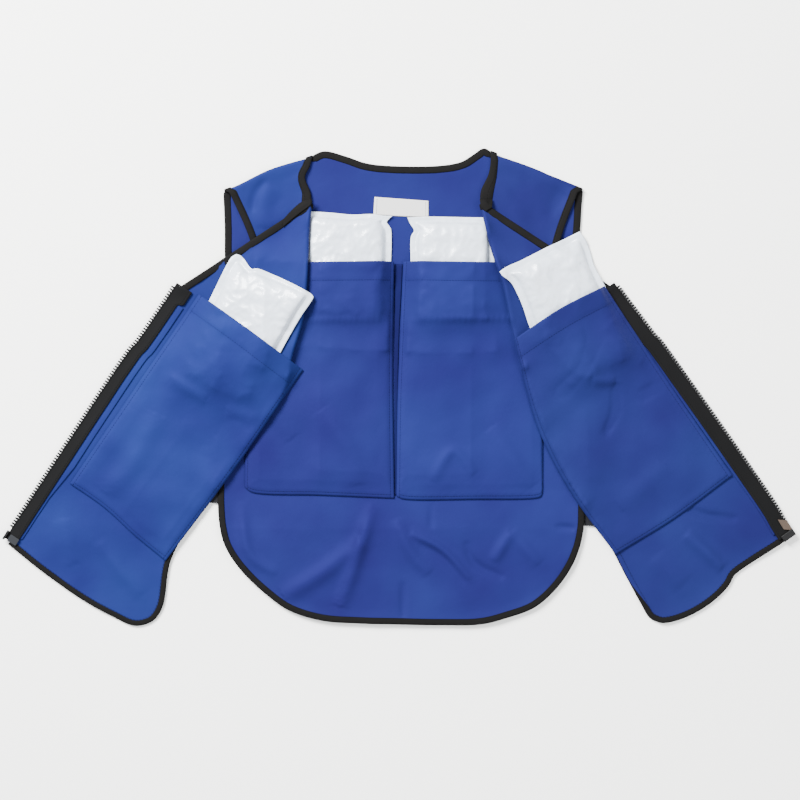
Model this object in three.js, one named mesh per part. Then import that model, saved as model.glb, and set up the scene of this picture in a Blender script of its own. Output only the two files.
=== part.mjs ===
// Cooling vest lying open on its back panel, lining side up, with both front panels folded outwards.
// Millimetres, with +X across the vest, +Y towards the neck and +Z up. Every layer of cloth is laid
// over the layers below it, so a changed size moves whatever lies on top.

import * as THREE from 'three';

// Cloth, trim and clearances
const clothWall = 1.2;
const bindingWidth = 8;
const bindingWall = 1;
const seamGap = 0.35;
const foldRadius = 3;

// Panels
const backWidth = 472;
const backLength = 609;
const frontWidth = 181;
const lapelLength = 195;
const clothFoldHeight = 5;
const clothFoldWidth = 20;

// Zipper
const zipperLength = 390;
const tapeWall = 1;
const tapeOverhang = 6;
const chainWidth = 5;
const chainHeight = 2.6;
const pinLength = 22;
const pinWidth = 3;
const filmLength = 14;
const filmWall = 0.5;
const boxLength = 12;
const boxWidth = 9;
const sliderLength = 15;
const sliderWidth = 12;
const sliderHeight = 7;
const sliderWall = 1.5;
const pullLength = 30;
const pullWidth = 8;
const pullWall = 1.5;

// Pockets
const backPocketWidth = 188;
const backPocketLength = 307;
const backPocketDrop = 141;
const backPocketGap = 11;
const backPocketShift = -4;
const frontPocketWidth = 164;
const frontPocketLength = 305;
const frontPocketInset = 24;

// Cold packs
const packWidth = 115;
const packLength = 175;
const packThickness = 14;
const packRim = 9;
const packFilm = 1;

// Label and side straps
const labelWidth = 70;
const labelHeight = 22;
const labelDrop = 56;
const labelWall = 0.5;
const strapWidth = 30;
const strapLength = 58;
const strapWall = 1.2;
const strapDrop = 424;

// Back outline, one half of it: across is a share of half the width, down a share of the length.
const neckline = [
  { across: 0, down: 0.025 },
  { across: 0.25, down: 0.019 },
  { across: 0.482, down: 0 },
];
const shoulderline = [
  { across: 0.482, down: 0 },
  { across: 0.74, down: 0.034 },
  { across: 0.985, down: 0.076 },
];
const backArmhole = [
  { across: 0.985, down: 0.076 },
  { across: 0.965, down: 0.17 },
  { across: 0.93, down: 0.31 },
  { across: 0.955, down: 0.41 },
  { across: 1, down: 0.47 },
];
const backSide = [
  { across: 1, down: 0.47 },
  { across: 1.0, down: 0.7 },
  { across: 0.99, down: 0.79 },
  { across: 0.965, down: 0.85 },
  { across: 0.905, down: 0.9 },
];
const tailHem = [
  { across: 0.905, down: 0.9 },
  { across: 0.725, down: 0.955 },
  { across: 0.5, down: 0.987 },
  { across: 0, down: 1 },
];

// Folds of the tail: from and to are shares of half the width and of the length, height and width
// are shares of a fold's usual height and width.
const tailFolds = [
  { fromAcross: -0.05, fromDown: 0.75, toAcross: -0.36, toDown: 0.95, height: 1, width: 1 },
  { fromAcross: 0.1, fromDown: 0.8, toAcross: 0.5, toDown: 0.93, height: 1.2, width: 1.1 },
  { fromAcross: 0.6, fromDown: 0.74, toAcross: 0.82, toDown: 0.86, height: 1, width: 1 },
  { fromAcross: -0.62, fromDown: 0.78, toAcross: -0.74, toDown: 0.9, height: 0.8, width: 1 },
];

// How each front lies. Collar points are shares of half the back width and of its length. Angles are
// in degrees: lapelFall is from level, zipperLean is from the length of the vest.
const fronts = {
  left: {
    sign: -1,
    lapelFall: 34.1,
    zipperLean: 33.3,
    collar: [{ across: 0.482, down: 0 }, { across: 0.565, down: 0.052 }, { across: 0.526, down: 0.106 }],
  },
  right: {
    sign: 1,
    lapelFall: 33.2,
    zipperLean: 35.1,
    collar: [{ across: 0.477, down: 0 }, { across: 0.473, down: 0.055 }, { across: 0.455, down: 0.11 }],
  },
};

// Armhole of the front's upper layer, in shares of half the back width and of its length.
const frontArmhole = [
  { across: 0.945, down: 0.079 },
  { across: 0.825, down: 0.188 },
  { across: 0.765, down: 0.31 },
  { across: 0.735, down: 0.452 },
];

// Outlines of the folded-out layer, from the top of the zipper: down is a share of the zipper's
// length, left and right are shares of the front's width on each side.
const foldline = [
  { down: -0.39, left: 0.545, right: 0.505 },
  { down: -0.31, left: 0.65, right: 0.585 },
  { down: -0.22, left: 0.775, right: 0.67 },
  { down: -0.09, left: 0.885, right: 0.765 },
  { down: 0.05, left: 0.985, right: 0.88 },
];
const frontSide = [
  { down: 0.05, left: 0.985, right: 0.88 },
  { down: 0.2, left: 0.975, right: 0.965 },
  { down: 0.45, left: 0.975, right: 1.04 },
  { down: 0.75, left: 0.99, right: 1.08 },
  { down: 0.86, left: 1.07, right: 1.115 },
  { down: 0.93, left: 1.14, right: 1.135 },
  { down: 0.985, left: 1.15, right: 1.11 },
];
const frontHem = [
  { down: 0.985, left: 1.15, right: 1.11 },
  { down: 1.02, left: 1.09, right: 1.02 },
  { down: 1.04, left: 0.98, right: 0.9 },
  { down: 1.04, left: 0.6, right: 0.6 },
  { down: 1.035, left: 0.25, right: 0.25 },
  { down: 1.02, left: 0, right: 0 },
];

const zipperEdgeLength = frontHem[frontHem.length - 1].down * zipperLength;

// Folds of the folded-out layer, in the same shares, with height and width as in the tail
const frontFolds = {
  left: [
    { fromAcross: 0.5, fromDown: 0.84, toAcross: 0.95, toDown: 0.92, height: 1, width: 0.9 },
    { fromAcross: 0.2, fromDown: 0.84, toAcross: 0.45, toDown: 0.97, height: 0.6, width: 0.9 },
  ],
  right: [
    { fromAcross: 0.22, fromDown: 0.84, toAcross: 0.3, toDown: 1, height: 1.2, width: 0.9 },
    { fromAcross: 0.7, fromDown: 0.84, toAcross: 0.85, toDown: 0.98, height: 0.8, width: 1 },
  ],
};

// Pocket outlines in shares of the pocket's width and length, each side from its first corner on.
const backPockets = {
  left: {
    mouth: [
      { across: 0, down: 0 },
      { across: 0.5, down: 0.005 },
      { across: 1.02, down: 0 },
    ],
    outer: [
      { across: 1.02, down: 0 },
      { across: 1.02, down: 0.5 },
      { across: 1.03, down: 0.93 },
    ],
    foot: [
      { across: 0, down: 1 },
      { across: 0.5, down: 0.985 },
      { across: 0.96, down: 0.97 },
      { across: 1.03, down: 0.93 },
    ],
    inner: [
      { across: 0, down: 0 },
      { across: 0.01, down: 0.5 },
      { across: 0, down: 1 },
    ],
  },
  right: {
    mouth: [
      { across: 0, down: 0 },
      { across: 0.5, down: 0.005 },
      { across: 0.98, down: 0 },
    ],
    outer: [
      { across: 0.98, down: 0 },
      { across: 0.975, down: 0.5 },
      { across: 0.97, down: 0.97 },
    ],
    foot: [
      { across: -0.03, down: 0.99 },
      { across: 0.1, down: 1.005 },
      { across: 0.85, down: 1.005 },
      { across: 0.97, down: 0.97 },
    ],
    inner: [
      { across: 0, down: 0 },
      { across: -0.01, down: 0.5 },
      { across: -0.03, down: 0.99 },
    ],
  },
};
const frontPockets = {
  left: {
    mouth: [
      { across: 1.02, down: 0.01 },
      { across: 0.5, down: -0.01 },
      { across: 0.03, down: -0.01 },
    ],
    outer: [
      { across: 0.03, down: -0.01 },
      { across: 0, down: 0.5 },
      { across: -0.03, down: 0.96 },
    ],
    foot: [
      { across: 0.94, down: 1.01 },
      { across: 0.65, down: 0.995 },
      { across: 0.3, down: 0.965 },
      { across: -0.03, down: 0.96 },
    ],
    inner: [
      { across: 1.02, down: 0.01 },
      { across: 1.0, down: 0.5 },
      { across: 0.94, down: 1.01 },
    ],
  },
  right: {
    mouth: [
      { across: 0.72, down: -0.08 },
      { across: 0.3, down: -0.075 },
      { across: -0.11, down: -0.044 },
    ],
    outer: [
      { across: -0.11, down: -0.044 },
      { across: -0.08, down: 0.44 },
      { across: -0.08, down: 0.94 },
    ],
    foot: [
      { across: 1.06, down: 0.93 },
      { across: 0.5, down: 0.95 },
      { across: -0.08, down: 0.94 },
    ],
    inner: [
      { across: 0.72, down: -0.08 },
      { across: 0.95, down: 0.285 },
      { across: 1.05, down: 0.6 },
      { across: 1.06, down: 0.93 },
    ],
  },
};

// How the packs sit in their pockets: across is a share of the pocket's width at its mouth, rise is
// the share of the pack's length that stands out of it, turn is in degrees towards the neck.
const packSeats = {
  backLeft: { across: 0.325, rise: 0.355, turn: 3 },
  backRight: { across: 0.33, rise: 0.325, turn: 0 },
  frontLeft: { across: 0.445, rise: 0.434, turn: 8.4 },
  frontRight: { across: 0.25, rise: 0.457, turn: 8 },
};

// Materials
function cloth(color, roughness) {
  return new THREE.MeshStandardMaterial({ color, roughness, metalness: 0 });
}
const lining = cloth('#4056ac', 0.6);
const bias = cloth('#2d2c2a', 0.8);
const film = cloth('#e1e6eb', 0.35);
const patchWhite = cloth('#e8e6e1', 0.8);
const webbing = cloth('#242426', 0.9);
const zipResin = cloth('#1c1c1d', 0.45);
const greyFilm = cloth('#77787a', 0.4);
const sliderMetal = new THREE.MeshStandardMaterial({ color: '#7d6e62', roughness: 0.4, metalness: 0.8 });

// Plan frames: an origin with an across and a down direction
function planFrame(origin, across, down) {
  return { origin, across, down };
}
function at(frame, across, down) {
  return [
    frame.origin[0] + frame.across[0] * across + frame.down[0] * down,
    frame.origin[1] + frame.across[1] * across + frame.down[1] * down,
  ];
}
function turned(direction, angle) {
  const cos = Math.cos(angle);
  const sin = Math.sin(angle);
  return [direction[0] * cos - direction[1] * sin, direction[0] * sin + direction[1] * cos];
}
const backFrame = planFrame([0, 0], [1, 0], [0, -1]);
function onBack(sign, { across, down }) {
  return at(backFrame, (sign * across * backWidth) / 2, down * backLength);
}
function frontFrame(side) {
  const { sign, lapelFall, zipperLean, collar } = fronts[side];
  const fall = THREE.MathUtils.degToRad(lapelFall);
  const lean = THREE.MathUtils.degToRad(zipperLean);
  const foldStart = onBack(sign, collar[collar.length - 1]);
  const zipperTop = [
    foldStart[0] + sign * lapelLength * Math.cos(fall),
    foldStart[1] - lapelLength * Math.sin(fall),
  ];
  const down = [sign * Math.sin(lean), -Math.cos(lean)];
  const across = [-sign * Math.cos(lean), -Math.sin(lean)];
  return planFrame(zipperTop, across, down);
}

// Smooth lines through a few stations, cut into steps of equal length
function smoothLine(stations, steps) {
  const points = stations.map(([x, y]) => new THREE.Vector3(x, y, 0));
  const curve = new THREE.CatmullRomCurve3(points, false, 'centripetal');
  curve.arcLengthDivisions = 400;
  return curve.getSpacedPoints(steps).map((point) => [point.x, point.y]);
}
function joinLines(...lines) {
  return lines.reduce((joined, line) => joined.concat(joined.length ? line.slice(1) : line), []);
}

// A four-sided patch of cloth in plan: an outer loop, an inset loop one binding inside it, and a
// grid blended between the four sides of the inset loop.
function clothPatch({ top, left, bottom, right }, inset) {
  const nu = top.length - 1;
  const nv = left.length - 1;
  const loop = [
    ...top,
    ...right.slice(1),
    ...bottom.slice(0, -1).reverse(),
    ...left.slice(1, -1).reverse(),
  ];
  const count = loop.length;
  let area = 0;
  loop.forEach(([x, y], k) => {
    const [x2, y2] = loop[(k + 1) % count];
    area += (x * y2 - x2 * y) / 2;
  });
  const turn = Math.sign(area);
  const inner = loop.map((point, k) => insetPoint(loop, k, turn, inset));
  const ring = (k) => inner[(k + count) % count];
  const grid = [];
  for (let j = 0; j <= nv; j += 1) {
    for (let i = 0; i <= nu; i += 1) {
      const u = i / nu;
      const v = j / nv;
      const point = [0, 1].map((axis) => {
        const t = ring(i)[axis];
        const r = ring(nu + j)[axis];
        const b = ring(nu + nv + (nu - i))[axis];
        const l = ring(2 * nu + nv + (nv - j))[axis];
        const corners = (1 - u) * (1 - v) * ring(0)[axis] + u * (1 - v) * ring(nu)[axis]
          + u * v * ring(nu + nv)[axis] + (1 - u) * v * ring(2 * nu + nv)[axis];
        return (1 - v) * t + v * b + (1 - u) * l + u * r - corners;
      });
      grid.push(point);
    }
  }
  const plan = [...loop, ...grid];
  const cell = (i, j) => count + j * (nu + 1) + i;
  const ringCell = (k) => {
    const step = (k + count) % count;
    if (step <= nu) return cell(step, 0);
    if (step <= nu + nv) return cell(nu, step - nu);
    if (step <= 2 * nu + nv) return cell(2 * nu + nv - step, nv);
    return cell(0, count - step);
  };
  const quads = [];
  for (let k = 0; k < count; k += 1) {
    quads.push([k, (k + 1) % count, ringCell(k + 1), ringCell(k)]);
  }
  for (let j = 0; j < nv; j += 1) {
    for (let i = 0; i < nu; i += 1) {
      quads.push([cell(i, j), cell(i + 1, j), cell(i + 1, j + 1), cell(i, j + 1)]);
    }
  }
  const facingUp = turn > 0 ? quads : quads.map(turnOver);
  return { nu, nv, count, plan, quads: facingUp, cell, ringCell, turn };
}
const turnOver = ([a, b, c, d]) => [a, d, c, b];
function insetPoint(loop, k, turn, inset) {
  const count = loop.length;
  const [x, y] = loop[k];
  const before = loop[(k + count - 1) % count];
  const after = loop[(k + 1) % count];
  const normal = (from, to) => {
    const length = Math.hypot(to[0] - from[0], to[1] - from[1]);
    return [(-turn * (to[1] - from[1])) / length, (turn * (to[0] - from[0])) / length];
  };
  const first = normal(before, loop[k]);
  const second = normal(loop[k], after);
  const sum = [first[0] + second[0], first[1] + second[1]];
  const size = Math.hypot(...sum);
  const slant = Math.max(0.45, size / 2);
  return [x + (sum[0] / size / slant) * inset, y + (sum[1] / size / slant) * inset];
}

// The relief map holds the highest surface laid so far over each small square of the floor.
const mapCell = 2;
const mapReachX = backWidth / 2 + lapelLength + zipperLength;
const mapReachY = (backLength + zipperLength) / 2;
const mapColumns = Math.ceil((2 * mapReachX) / mapCell);
const mapRows = Math.ceil((2 * mapReachY) / mapCell);
const mapCentreY = -backLength / 2;
const relief = new Float32Array(mapColumns * mapRows);
const wideRelief = new Float32Array(mapColumns * mapRows);
const column = (x) => Math.floor((x + mapReachX) / mapCell);
const row = (y) => Math.floor((y - mapCentreY + mapReachY) / mapCell);
const columnCentre = (c) => (c + 0.5) * mapCell - mapReachX;
const rowCentre = (r) => (r + 0.5) * mapCell - mapReachY + mapCentreY;

function eachSquare(triangle, margin, visit) {
  const [a, b, c] = triangle;
  const area = (b.x - a.x) * (c.y - a.y) - (c.x - a.x) * (b.y - a.y);
  if (Math.abs(area) < 1e-6) return;
  const slopeX = ((b.z - a.z) * (c.y - a.y) - (c.z - a.z) * (b.y - a.y)) / area;
  const slopeY = ((c.z - a.z) * (b.x - a.x) - (b.z - a.z) * (c.x - a.x)) / area;
  const lowX = Math.min(a.x, b.x, c.x) - margin;
  const highX = Math.max(a.x, b.x, c.x) + margin;
  const lowY = Math.min(a.y, b.y, c.y) - margin;
  const highY = Math.max(a.y, b.y, c.y) + margin;
  const sign = Math.sign(area);
  const edges = [[a, b], [b, c], [c, a]];
  for (let r = Math.max(0, row(lowY)); r <= Math.min(mapRows - 1, row(highY)); r += 1) {
    for (let q = Math.max(0, column(lowX)); q <= Math.min(mapColumns - 1, column(highX)); q += 1) {
      const x = columnCentre(q);
      const y = rowCentre(r);
      const inside = edges.every(([from, to]) => {
        const dx = to.x - from.x;
        const dy = to.y - from.y;
        const distance = (sign * (dx * (y - from.y) - dy * (x - from.x))) / Math.hypot(dx, dy);
        return distance > -margin;
      });
      const z = a.z + slopeX * (x - a.x) + slopeY * (y - a.y);
      if (inside) visit(r * mapColumns + q, x, y, z, slopeX, slopeY);
    }
  }
}
function layOnMap(geometry) {
  const position = geometry.getAttribute('position');
  const index = geometry.getIndex();
  const corner = (k) => new THREE.Vector3().fromBufferAttribute(position, index ? index.getX(k) : k);
  const total = index ? index.count : position.count;
  for (let k = 0; k < total; k += 3) {
    const triangle = [corner(k), corner(k + 1), corner(k + 2)];
    const top = Math.max(triangle[0].z, triangle[1].z, triangle[2].z);
    eachSquare(triangle, mapCell * 0.75, (square, x, y, z, slopeX, slopeY) => {
      const rise = (Math.abs(slopeX) + Math.abs(slopeY)) * mapCell * 0.5;
      relief[square] = Math.max(relief[square], Math.min(top, z + rise));
    });
  }
  for (let r = 1; r < mapRows - 1; r += 1) {
    for (let q = 1; q < mapColumns - 1; q += 1) {
      let highest = 0;
      for (let dr = -1; dr <= 1; dr += 1) {
        for (let dq = -1; dq <= 1; dq += 1) {
          highest = Math.max(highest, relief[(r + dr) * mapColumns + q + dq]);
        }
      }
      wideRelief[r * mapColumns + q] = highest;
    }
  }
}
function groundUnder([x, y], radius = 0) {
  const reach = Math.ceil(radius / mapCell);
  let highest = 0;
  for (let dr = -reach; dr <= reach; dr += 1) {
    for (let dq = -reach; dq <= reach; dq += 1) {
      const r = THREE.MathUtils.clamp(row(y) + dr, 0, mapRows - 1);
      const q = THREE.MathUtils.clamp(column(x) + dq, 0, mapColumns - 1);
      highest = Math.max(highest, wideRelief[r * mapColumns + q]);
    }
  }
  return highest;
}

const settleRounds = 40;
const relaxPasses = 120;

// Lays a patch on the map: each point hangs from its neighbours, sinks by the sag and is carried by
// what lies under it. Bound points leave room for a binding below them, lift raises the others. The
// result is the height of the patch's underside at each point.
function drape(patch, { sag, bound = new Set(), lift = () => 0, least = () => 0 }) {
  const { plan, quads } = patch;
  const neighbours = plan.map(() => new Set());
  quads.forEach((quad) => quad.forEach((a, k) => {
    const b = quad[(k + 1) % 4];
    neighbours[a].add(b);
    neighbours[b].add(a);
  }));
  const around = neighbours.map((set) => [...set]);
  const support = plan.map((point, k) => {
    const ground = groundUnder(point);
    const room = bound.has(k) ? seamGap + bindingWall : 0;
    return Math.max(ground > 0 ? ground + seamGap : 0, least(k)) + room + lift(k);
  });
  const height = [...support];
  for (let round = 0; round < settleRounds; round += 1) {
    relax(height, support, around, sag);
    if (!raiseClear(patch, height, support, bound, round > settleRounds / 2)) break;
  }
  return height;
}
function relax(height, support, around, sag) {
  for (let pass = 0; pass < relaxPasses; pass += 1) {
    around.forEach((near, k) => {
      const mean = near.reduce((sum, other) => sum + height[other], 0) / near.length;
      height[k] = Math.max(support[k], mean - sag);
    });
  }
}
function nearestShares(flat, x, y) {
  const shares = THREE.Triangle.getBarycoord(new THREE.Vector3(x, y, 0), ...flat, new THREE.Vector3());
  const inside = [shares.x, shares.y, shares.z].map((share) => Math.max(0, share));
  const sum = inside[0] + inside[1] + inside[2];
  return inside.map((share) => share / sum);
}
function raiseClear({ plan, quads }, height, support, bound, whole) {
  let raised = false;
  const point = (k) => new THREE.Vector3(plan[k][0], plan[k][1], height[k]);
  quads.forEach((quad) => {
    const room = quad.every((k) => bound.has(k)) ? seamGap + bindingWall : 0;
    [[0, 1, 2], [0, 2, 3]].forEach((corners) => {
      const ids = corners.map((corner) => quad[corner]);
      const triangle = ids.map(point);
      const flat = triangle.map((corner) => new THREE.Vector3(corner.x, corner.y, 0));
      let worst = { short: 1e-3 };
      eachSquare(triangle, mapCell * 0.5 + room, (square, x, y) => {
        const ground = wideRelief[square];
        if (ground <= 0) return;
        const weights = nearestShares(flat, x, y);
        const z = weights.reduce((sum, weight, k) => sum + weight * triangle[k].z, 0);
        const short = ground + seamGap + room - z;
        if (short > worst.short) worst = { short, weights };
      });
      if (!worst.weights) return;
      raised = true;
      const squares = worst.weights.reduce((sum, weight) => sum + weight * weight, 0);
      ids.forEach((id, k) => {
        const step = whole ? worst.short : (worst.short * worst.weights[k]) / squares;
        support[id] = Math.max(support[id], height[id] + step);
        height[id] = Math.max(height[id], support[id]);
      });
    });
  });
  return raised;
}

// Closes a cloth surface into a solid. Each point has a position on its facing side, towards which
// the quads turn, and one on its other side.
function clothSolid(points, quads) {
  const position = [];
  points.forEach(({ facing }) => position.push(...facing));
  points.forEach(({ other }) => position.push(...other));
  const far = points.length;
  const index = [];
  const edges = new Map();
  quads.forEach(([a, b, c, d]) => {
    index.push(a, b, c, a, c, d);
    index.push(a + far, c + far, b + far, a + far, d + far, c + far);
    [[a, b], [b, c], [c, d], [d, a]].forEach(([from, to]) => {
      if (!edges.delete(`${to},${from}`)) edges.set(`${from},${to}`, [from, to]);
    });
  });
  edges.forEach(([from, to]) => {
    index.push(to, from, from + far, to, from + far, to + far);
  });
  const geometry = new THREE.BufferGeometry();
  geometry.setAttribute('position', new THREE.Float32BufferAttribute(position, 3));
  geometry.setIndex(index);
  geometry.computeVertexNormals();
  return geometry;
}
function sheetPoints(patch, height, wall) {
  return patch.plan.map(([x, y], k) => {
    const thickness = typeof wall === 'function' ? wall(k) : wall;
    return { facing: [x, y, height[k] + thickness], other: [x, y, height[k]] };
  });
}

// The points that a binding covers: those of the outer loop that it runs along, and their inset ones
function boundPoints(patch, isBound) {
  const bound = new Set();
  for (let k = 0; k < patch.count; k += 1) {
    if (isBound(k)) bound.add(k).add(patch.ringCell(k));
  }
  return bound;
}

// Sewn edges: a chain of sections, each with its edge and its inset place on both sides of the cloth
const vector = (values) => new THREE.Vector3(...values);
function edgeChain(patch, points, from, to) {
  const chain = [];
  for (let k = from; k <= to; k += 1) {
    const edge = points[(k + patch.count) % patch.count];
    const inset = points[patch.ringCell(k)];
    chain.push({
      edgeTop: vector(edge.facing),
      edgeUnder: vector(edge.other),
      insetTop: vector(inset.facing),
      insetUnder: vector(inset.other),
    });
  }
  return chain;
}
function blendSection(a, b, share) {
  const blended = {};
  Object.keys(a).forEach((key) => {
    blended[key] = a[key].clone().lerp(b[key], share);
  });
  return blended;
}
function trimChain(chain, startTrim, endTrim) {
  const trimmed = [...chain];
  const cutStart = (list, trim) => {
    let left = trim;
    while (list.length > 2 && list[0].edgeTop.distanceTo(list[1].edgeTop) <= left) {
      left -= list[0].edgeTop.distanceTo(list[1].edgeTop);
      list.shift();
    }
    const length = list[0].edgeTop.distanceTo(list[1].edgeTop);
    list[0] = blendSection(list[0], list[1], Math.min(0.9, left / length));
  };
  cutStart(trimmed, startTrim);
  trimmed.reverse();
  cutStart(trimmed, endTrim);
  trimmed.reverse();
  return trimmed;
}
function sweepSections(sections, caps, crossed = []) {
  const size = sections[0].length;
  const position = sections.flat().flatMap((point) => [point.x, point.y, point.z]);
  const index = [];
  for (let s = 0; s < sections.length - 1; s += 1) {
    for (let k = 0; k < size; k += 1) {
      const a = s * size + k;
      const b = s * size + ((k + 1) % size);
      if (crossed.includes(k)) index.push(a, b, a + size, b, b + size, a + size);
      else index.push(a, b, b + size, a, b + size, a + size);
    }
  }
  const last = (sections.length - 1) * size;
  caps.forEach(([a, b, c, d]) => {
    index.push(a, c, b, a, d, c);
    index.push(last + a, last + b, last + c, last + a, last + c, last + d);
  });
  const geometry = new THREE.BufferGeometry();
  geometry.setAttribute('position', new THREE.Float32BufferAttribute(position, 3));
  geometry.setIndex(index);
  if (signedVolume(geometry) < 0) {
    for (let k = 0; k < index.length; k += 3) [index[k], index[k + 1]] = [index[k + 1], index[k]];
    geometry.setIndex(index);
  }
  geometry.computeVertexNormals();
  return geometry;
}
function signedVolume(geometry) {
  const position = geometry.getAttribute('position');
  const index = geometry.getIndex();
  let volume = 0;
  for (let k = 0; k < index.count; k += 3) {
    const corner = (step) => new THREE.Vector3().fromBufferAttribute(position, index.getX(k + step));
    const [a, b, c] = [0, 1, 2].map(corner);
    volume += a.dot(b.cross(c)) / 6;
  }
  return volume;
}

// Bias binding: a channel folded over the edge, clear of the cloth by the seam gap
function bindingGeometry(chain) {
  const up = new THREE.Vector3(0, 0, 1);
  const reach = seamGap + bindingWall;
  const sections = chain.map(({ edgeTop, edgeUnder, insetTop, insetUnder }) => {
    const out = edgeTop.clone().sub(insetTop).setZ(0).normalize();
    const place = (point, outward, upward) => (
      point.clone().addScaledVector(out, outward).addScaledVector(up, upward)
    );
    return [
      place(insetTop, 0, seamGap),
      place(insetTop, 0, reach),
      place(edgeTop, reach, reach),
      place(edgeUnder, reach, -reach),
      place(insetUnder, 0, -reach),
      place(insetUnder, 0, -seamGap),
      place(edgeUnder, seamGap, -seamGap),
      place(edgeTop, seamGap, seamGap),
    ];
  });
  return sweepSections(sections, channelCaps, [1, 5]);
}
const channelCaps = [[0, 1, 2, 7], [7, 2, 3, 6], [6, 3, 4, 5]];

const vest = new THREE.Group();
function addPiece(name, geometry, material) {
  const mesh = new THREE.Mesh(geometry, material);
  mesh.name = name;
  vest.add(mesh);
  layOnMap(geometry);
  return mesh;
}
function ridge(folds, toPlan, [x, y]) {
  return folds.reduce((sum, fold) => {
    const from = toPlan(fold.fromAcross, fold.fromDown);
    const to = toPlan(fold.toAcross, fold.toDown);
    const along = [to[0] - from[0], to[1] - from[1]];
    const square = along[0] * along[0] + along[1] * along[1];
    const share = ((x - from[0]) * along[0] + (y - from[1]) * along[1]) / square;
    const t = THREE.MathUtils.clamp(share, 0, 1);
    const distance = Math.hypot(x - from[0] - t * along[0], y - from[1] - t * along[1]);
    const spread = distance / (fold.width * clothFoldWidth);
    return sum + fold.height * clothFoldHeight * Math.exp(-spread * spread);
  }, 0);
}

// Side straps: an elastic loop lying flat between the back's side and the front's side
function sideStrap(side) {
  const { sign } = fronts[side];
  const start = backWidth / 2 + 2 * seamGap + bindingWall;
  const bend = strapWall * 1.5;
  const far = start + strapLength - bend;
  const outline = new THREE.Shape();
  outline.moveTo(start, 0);
  outline.lineTo(far, 0);
  outline.absarc(far, bend, bend, -Math.PI / 2, Math.PI / 2, false);
  outline.lineTo(start, 2 * bend);
  outline.lineTo(start, 2 * bend - strapWall);
  outline.lineTo(far, 2 * bend - strapWall);
  outline.absarc(far, bend, bend - strapWall, Math.PI / 2, -Math.PI / 2, true);
  outline.lineTo(start, strapWall);
  const extrusion = { depth: strapWidth, bevelEnabled: false, curveSegments: 5 };
  const geometry = new THREE.ExtrudeGeometry(outline, extrusion);
  geometry.rotateX(Math.PI / 2);
  geometry.translate(0, -strapDrop + (side === 'left' ? 0 : -strapWidth), 0);
  if (sign < 0) geometry.rotateZ(Math.PI).translate(0, -2 * strapDrop - strapWidth, 0);
  addPiece(`side_strap_${side}`, geometry, webbing);
}

// Back panel with its bindings
function backPanel() {
  const half = (stations, sign) => stations.map((station) => onBack(sign, station));
  const shoulderSteps = 4;
  const neckSteps = 4;
  const armholeSteps = 7;
  const sideSteps = 9;
  const hemSteps = shoulderSteps + neckSteps;
  const top = joinLines(
    smoothLine(half(shoulderline, -1).reverse(), shoulderSteps),
    smoothLine([...half(neckline, -1).reverse(), ...half(neckline, 1).slice(1)], 2 * neckSteps),
    smoothLine(half(shoulderline, 1), shoulderSteps),
  );
  const sideLine = (sign) => joinLines(
    smoothLine(half(backArmhole, sign), armholeSteps),
    smoothLine(half(backSide, sign), sideSteps),
  );
  const bottom = smoothLine([...half(tailHem, -1), ...half(tailHem, 1).reverse().slice(1)], 2 * hemSteps);
  const patch = clothPatch({ top, left: sideLine(-1), bottom, right: sideLine(1) }, bindingWidth);
  const { nu, count } = patch;
  const onShoulder = (k) => (k > 0 && k < shoulderSteps) || (k > nu - shoulderSteps && k < nu);
  const bound = boundPoints(patch, (k) => !onShoulder(k));
  const toPlan = (across, down) => onBack(1, { across, down });
  const height = drape(patch, {
    sag: 1,
    bound,
    lift: (k) => ridgeLift(tailFolds, toPlan, patch.plan[k]),
  });
  const points = sheetPoints(patch, height, clothWall);
  addPiece('back_panel', clothSolid(points, patch.quads), lining);
  const binding = (name, from, to) => {
    const chain = trimChain(edgeChain(patch, points, from, to), 1, 1);
    addPiece(name, bindingGeometry(chain), bias);
  };
  binding('neck_binding', shoulderSteps, nu - shoulderSteps);
  binding('back_armhole_binding_right', nu, nu + armholeSteps);
  binding('tail_binding', nu + armholeSteps, count - armholeSteps);
  binding('back_armhole_binding_left', count - armholeSteps, count);
}
function ridgeLift(folds, toPlan, point) {
  const rise = ridge(folds, toPlan, point);
  return rise > clothFoldHeight * 0.08 ? rise : 0;
}

// Label under the neck
function label() {
  const frame = planFrame([0, -labelDrop], [1, 0], [0, -1]);
  const corner = (across, down) => at(frame, across * labelWidth, down * labelHeight);
  const topLeft = corner(-0.5, 0);
  const topRight = corner(0.5, 0.2);
  const footLeft = corner(-0.52, 0.86);
  const footRight = corner(0.5, 1);
  const patch = clothPatch({
    top: smoothLine([topLeft, topRight], 4),
    left: smoothLine([topLeft, footLeft], 2),
    bottom: smoothLine([footLeft, footRight], 4),
    right: smoothLine([topRight, footRight], 2),
  }, 2);
  const height = drape(patch, { sag: 0.1 });
  addPiece('label_patch', clothSolid(sheetPoints(patch, height, labelWall), patch.quads), patchWhite);
}

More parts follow.
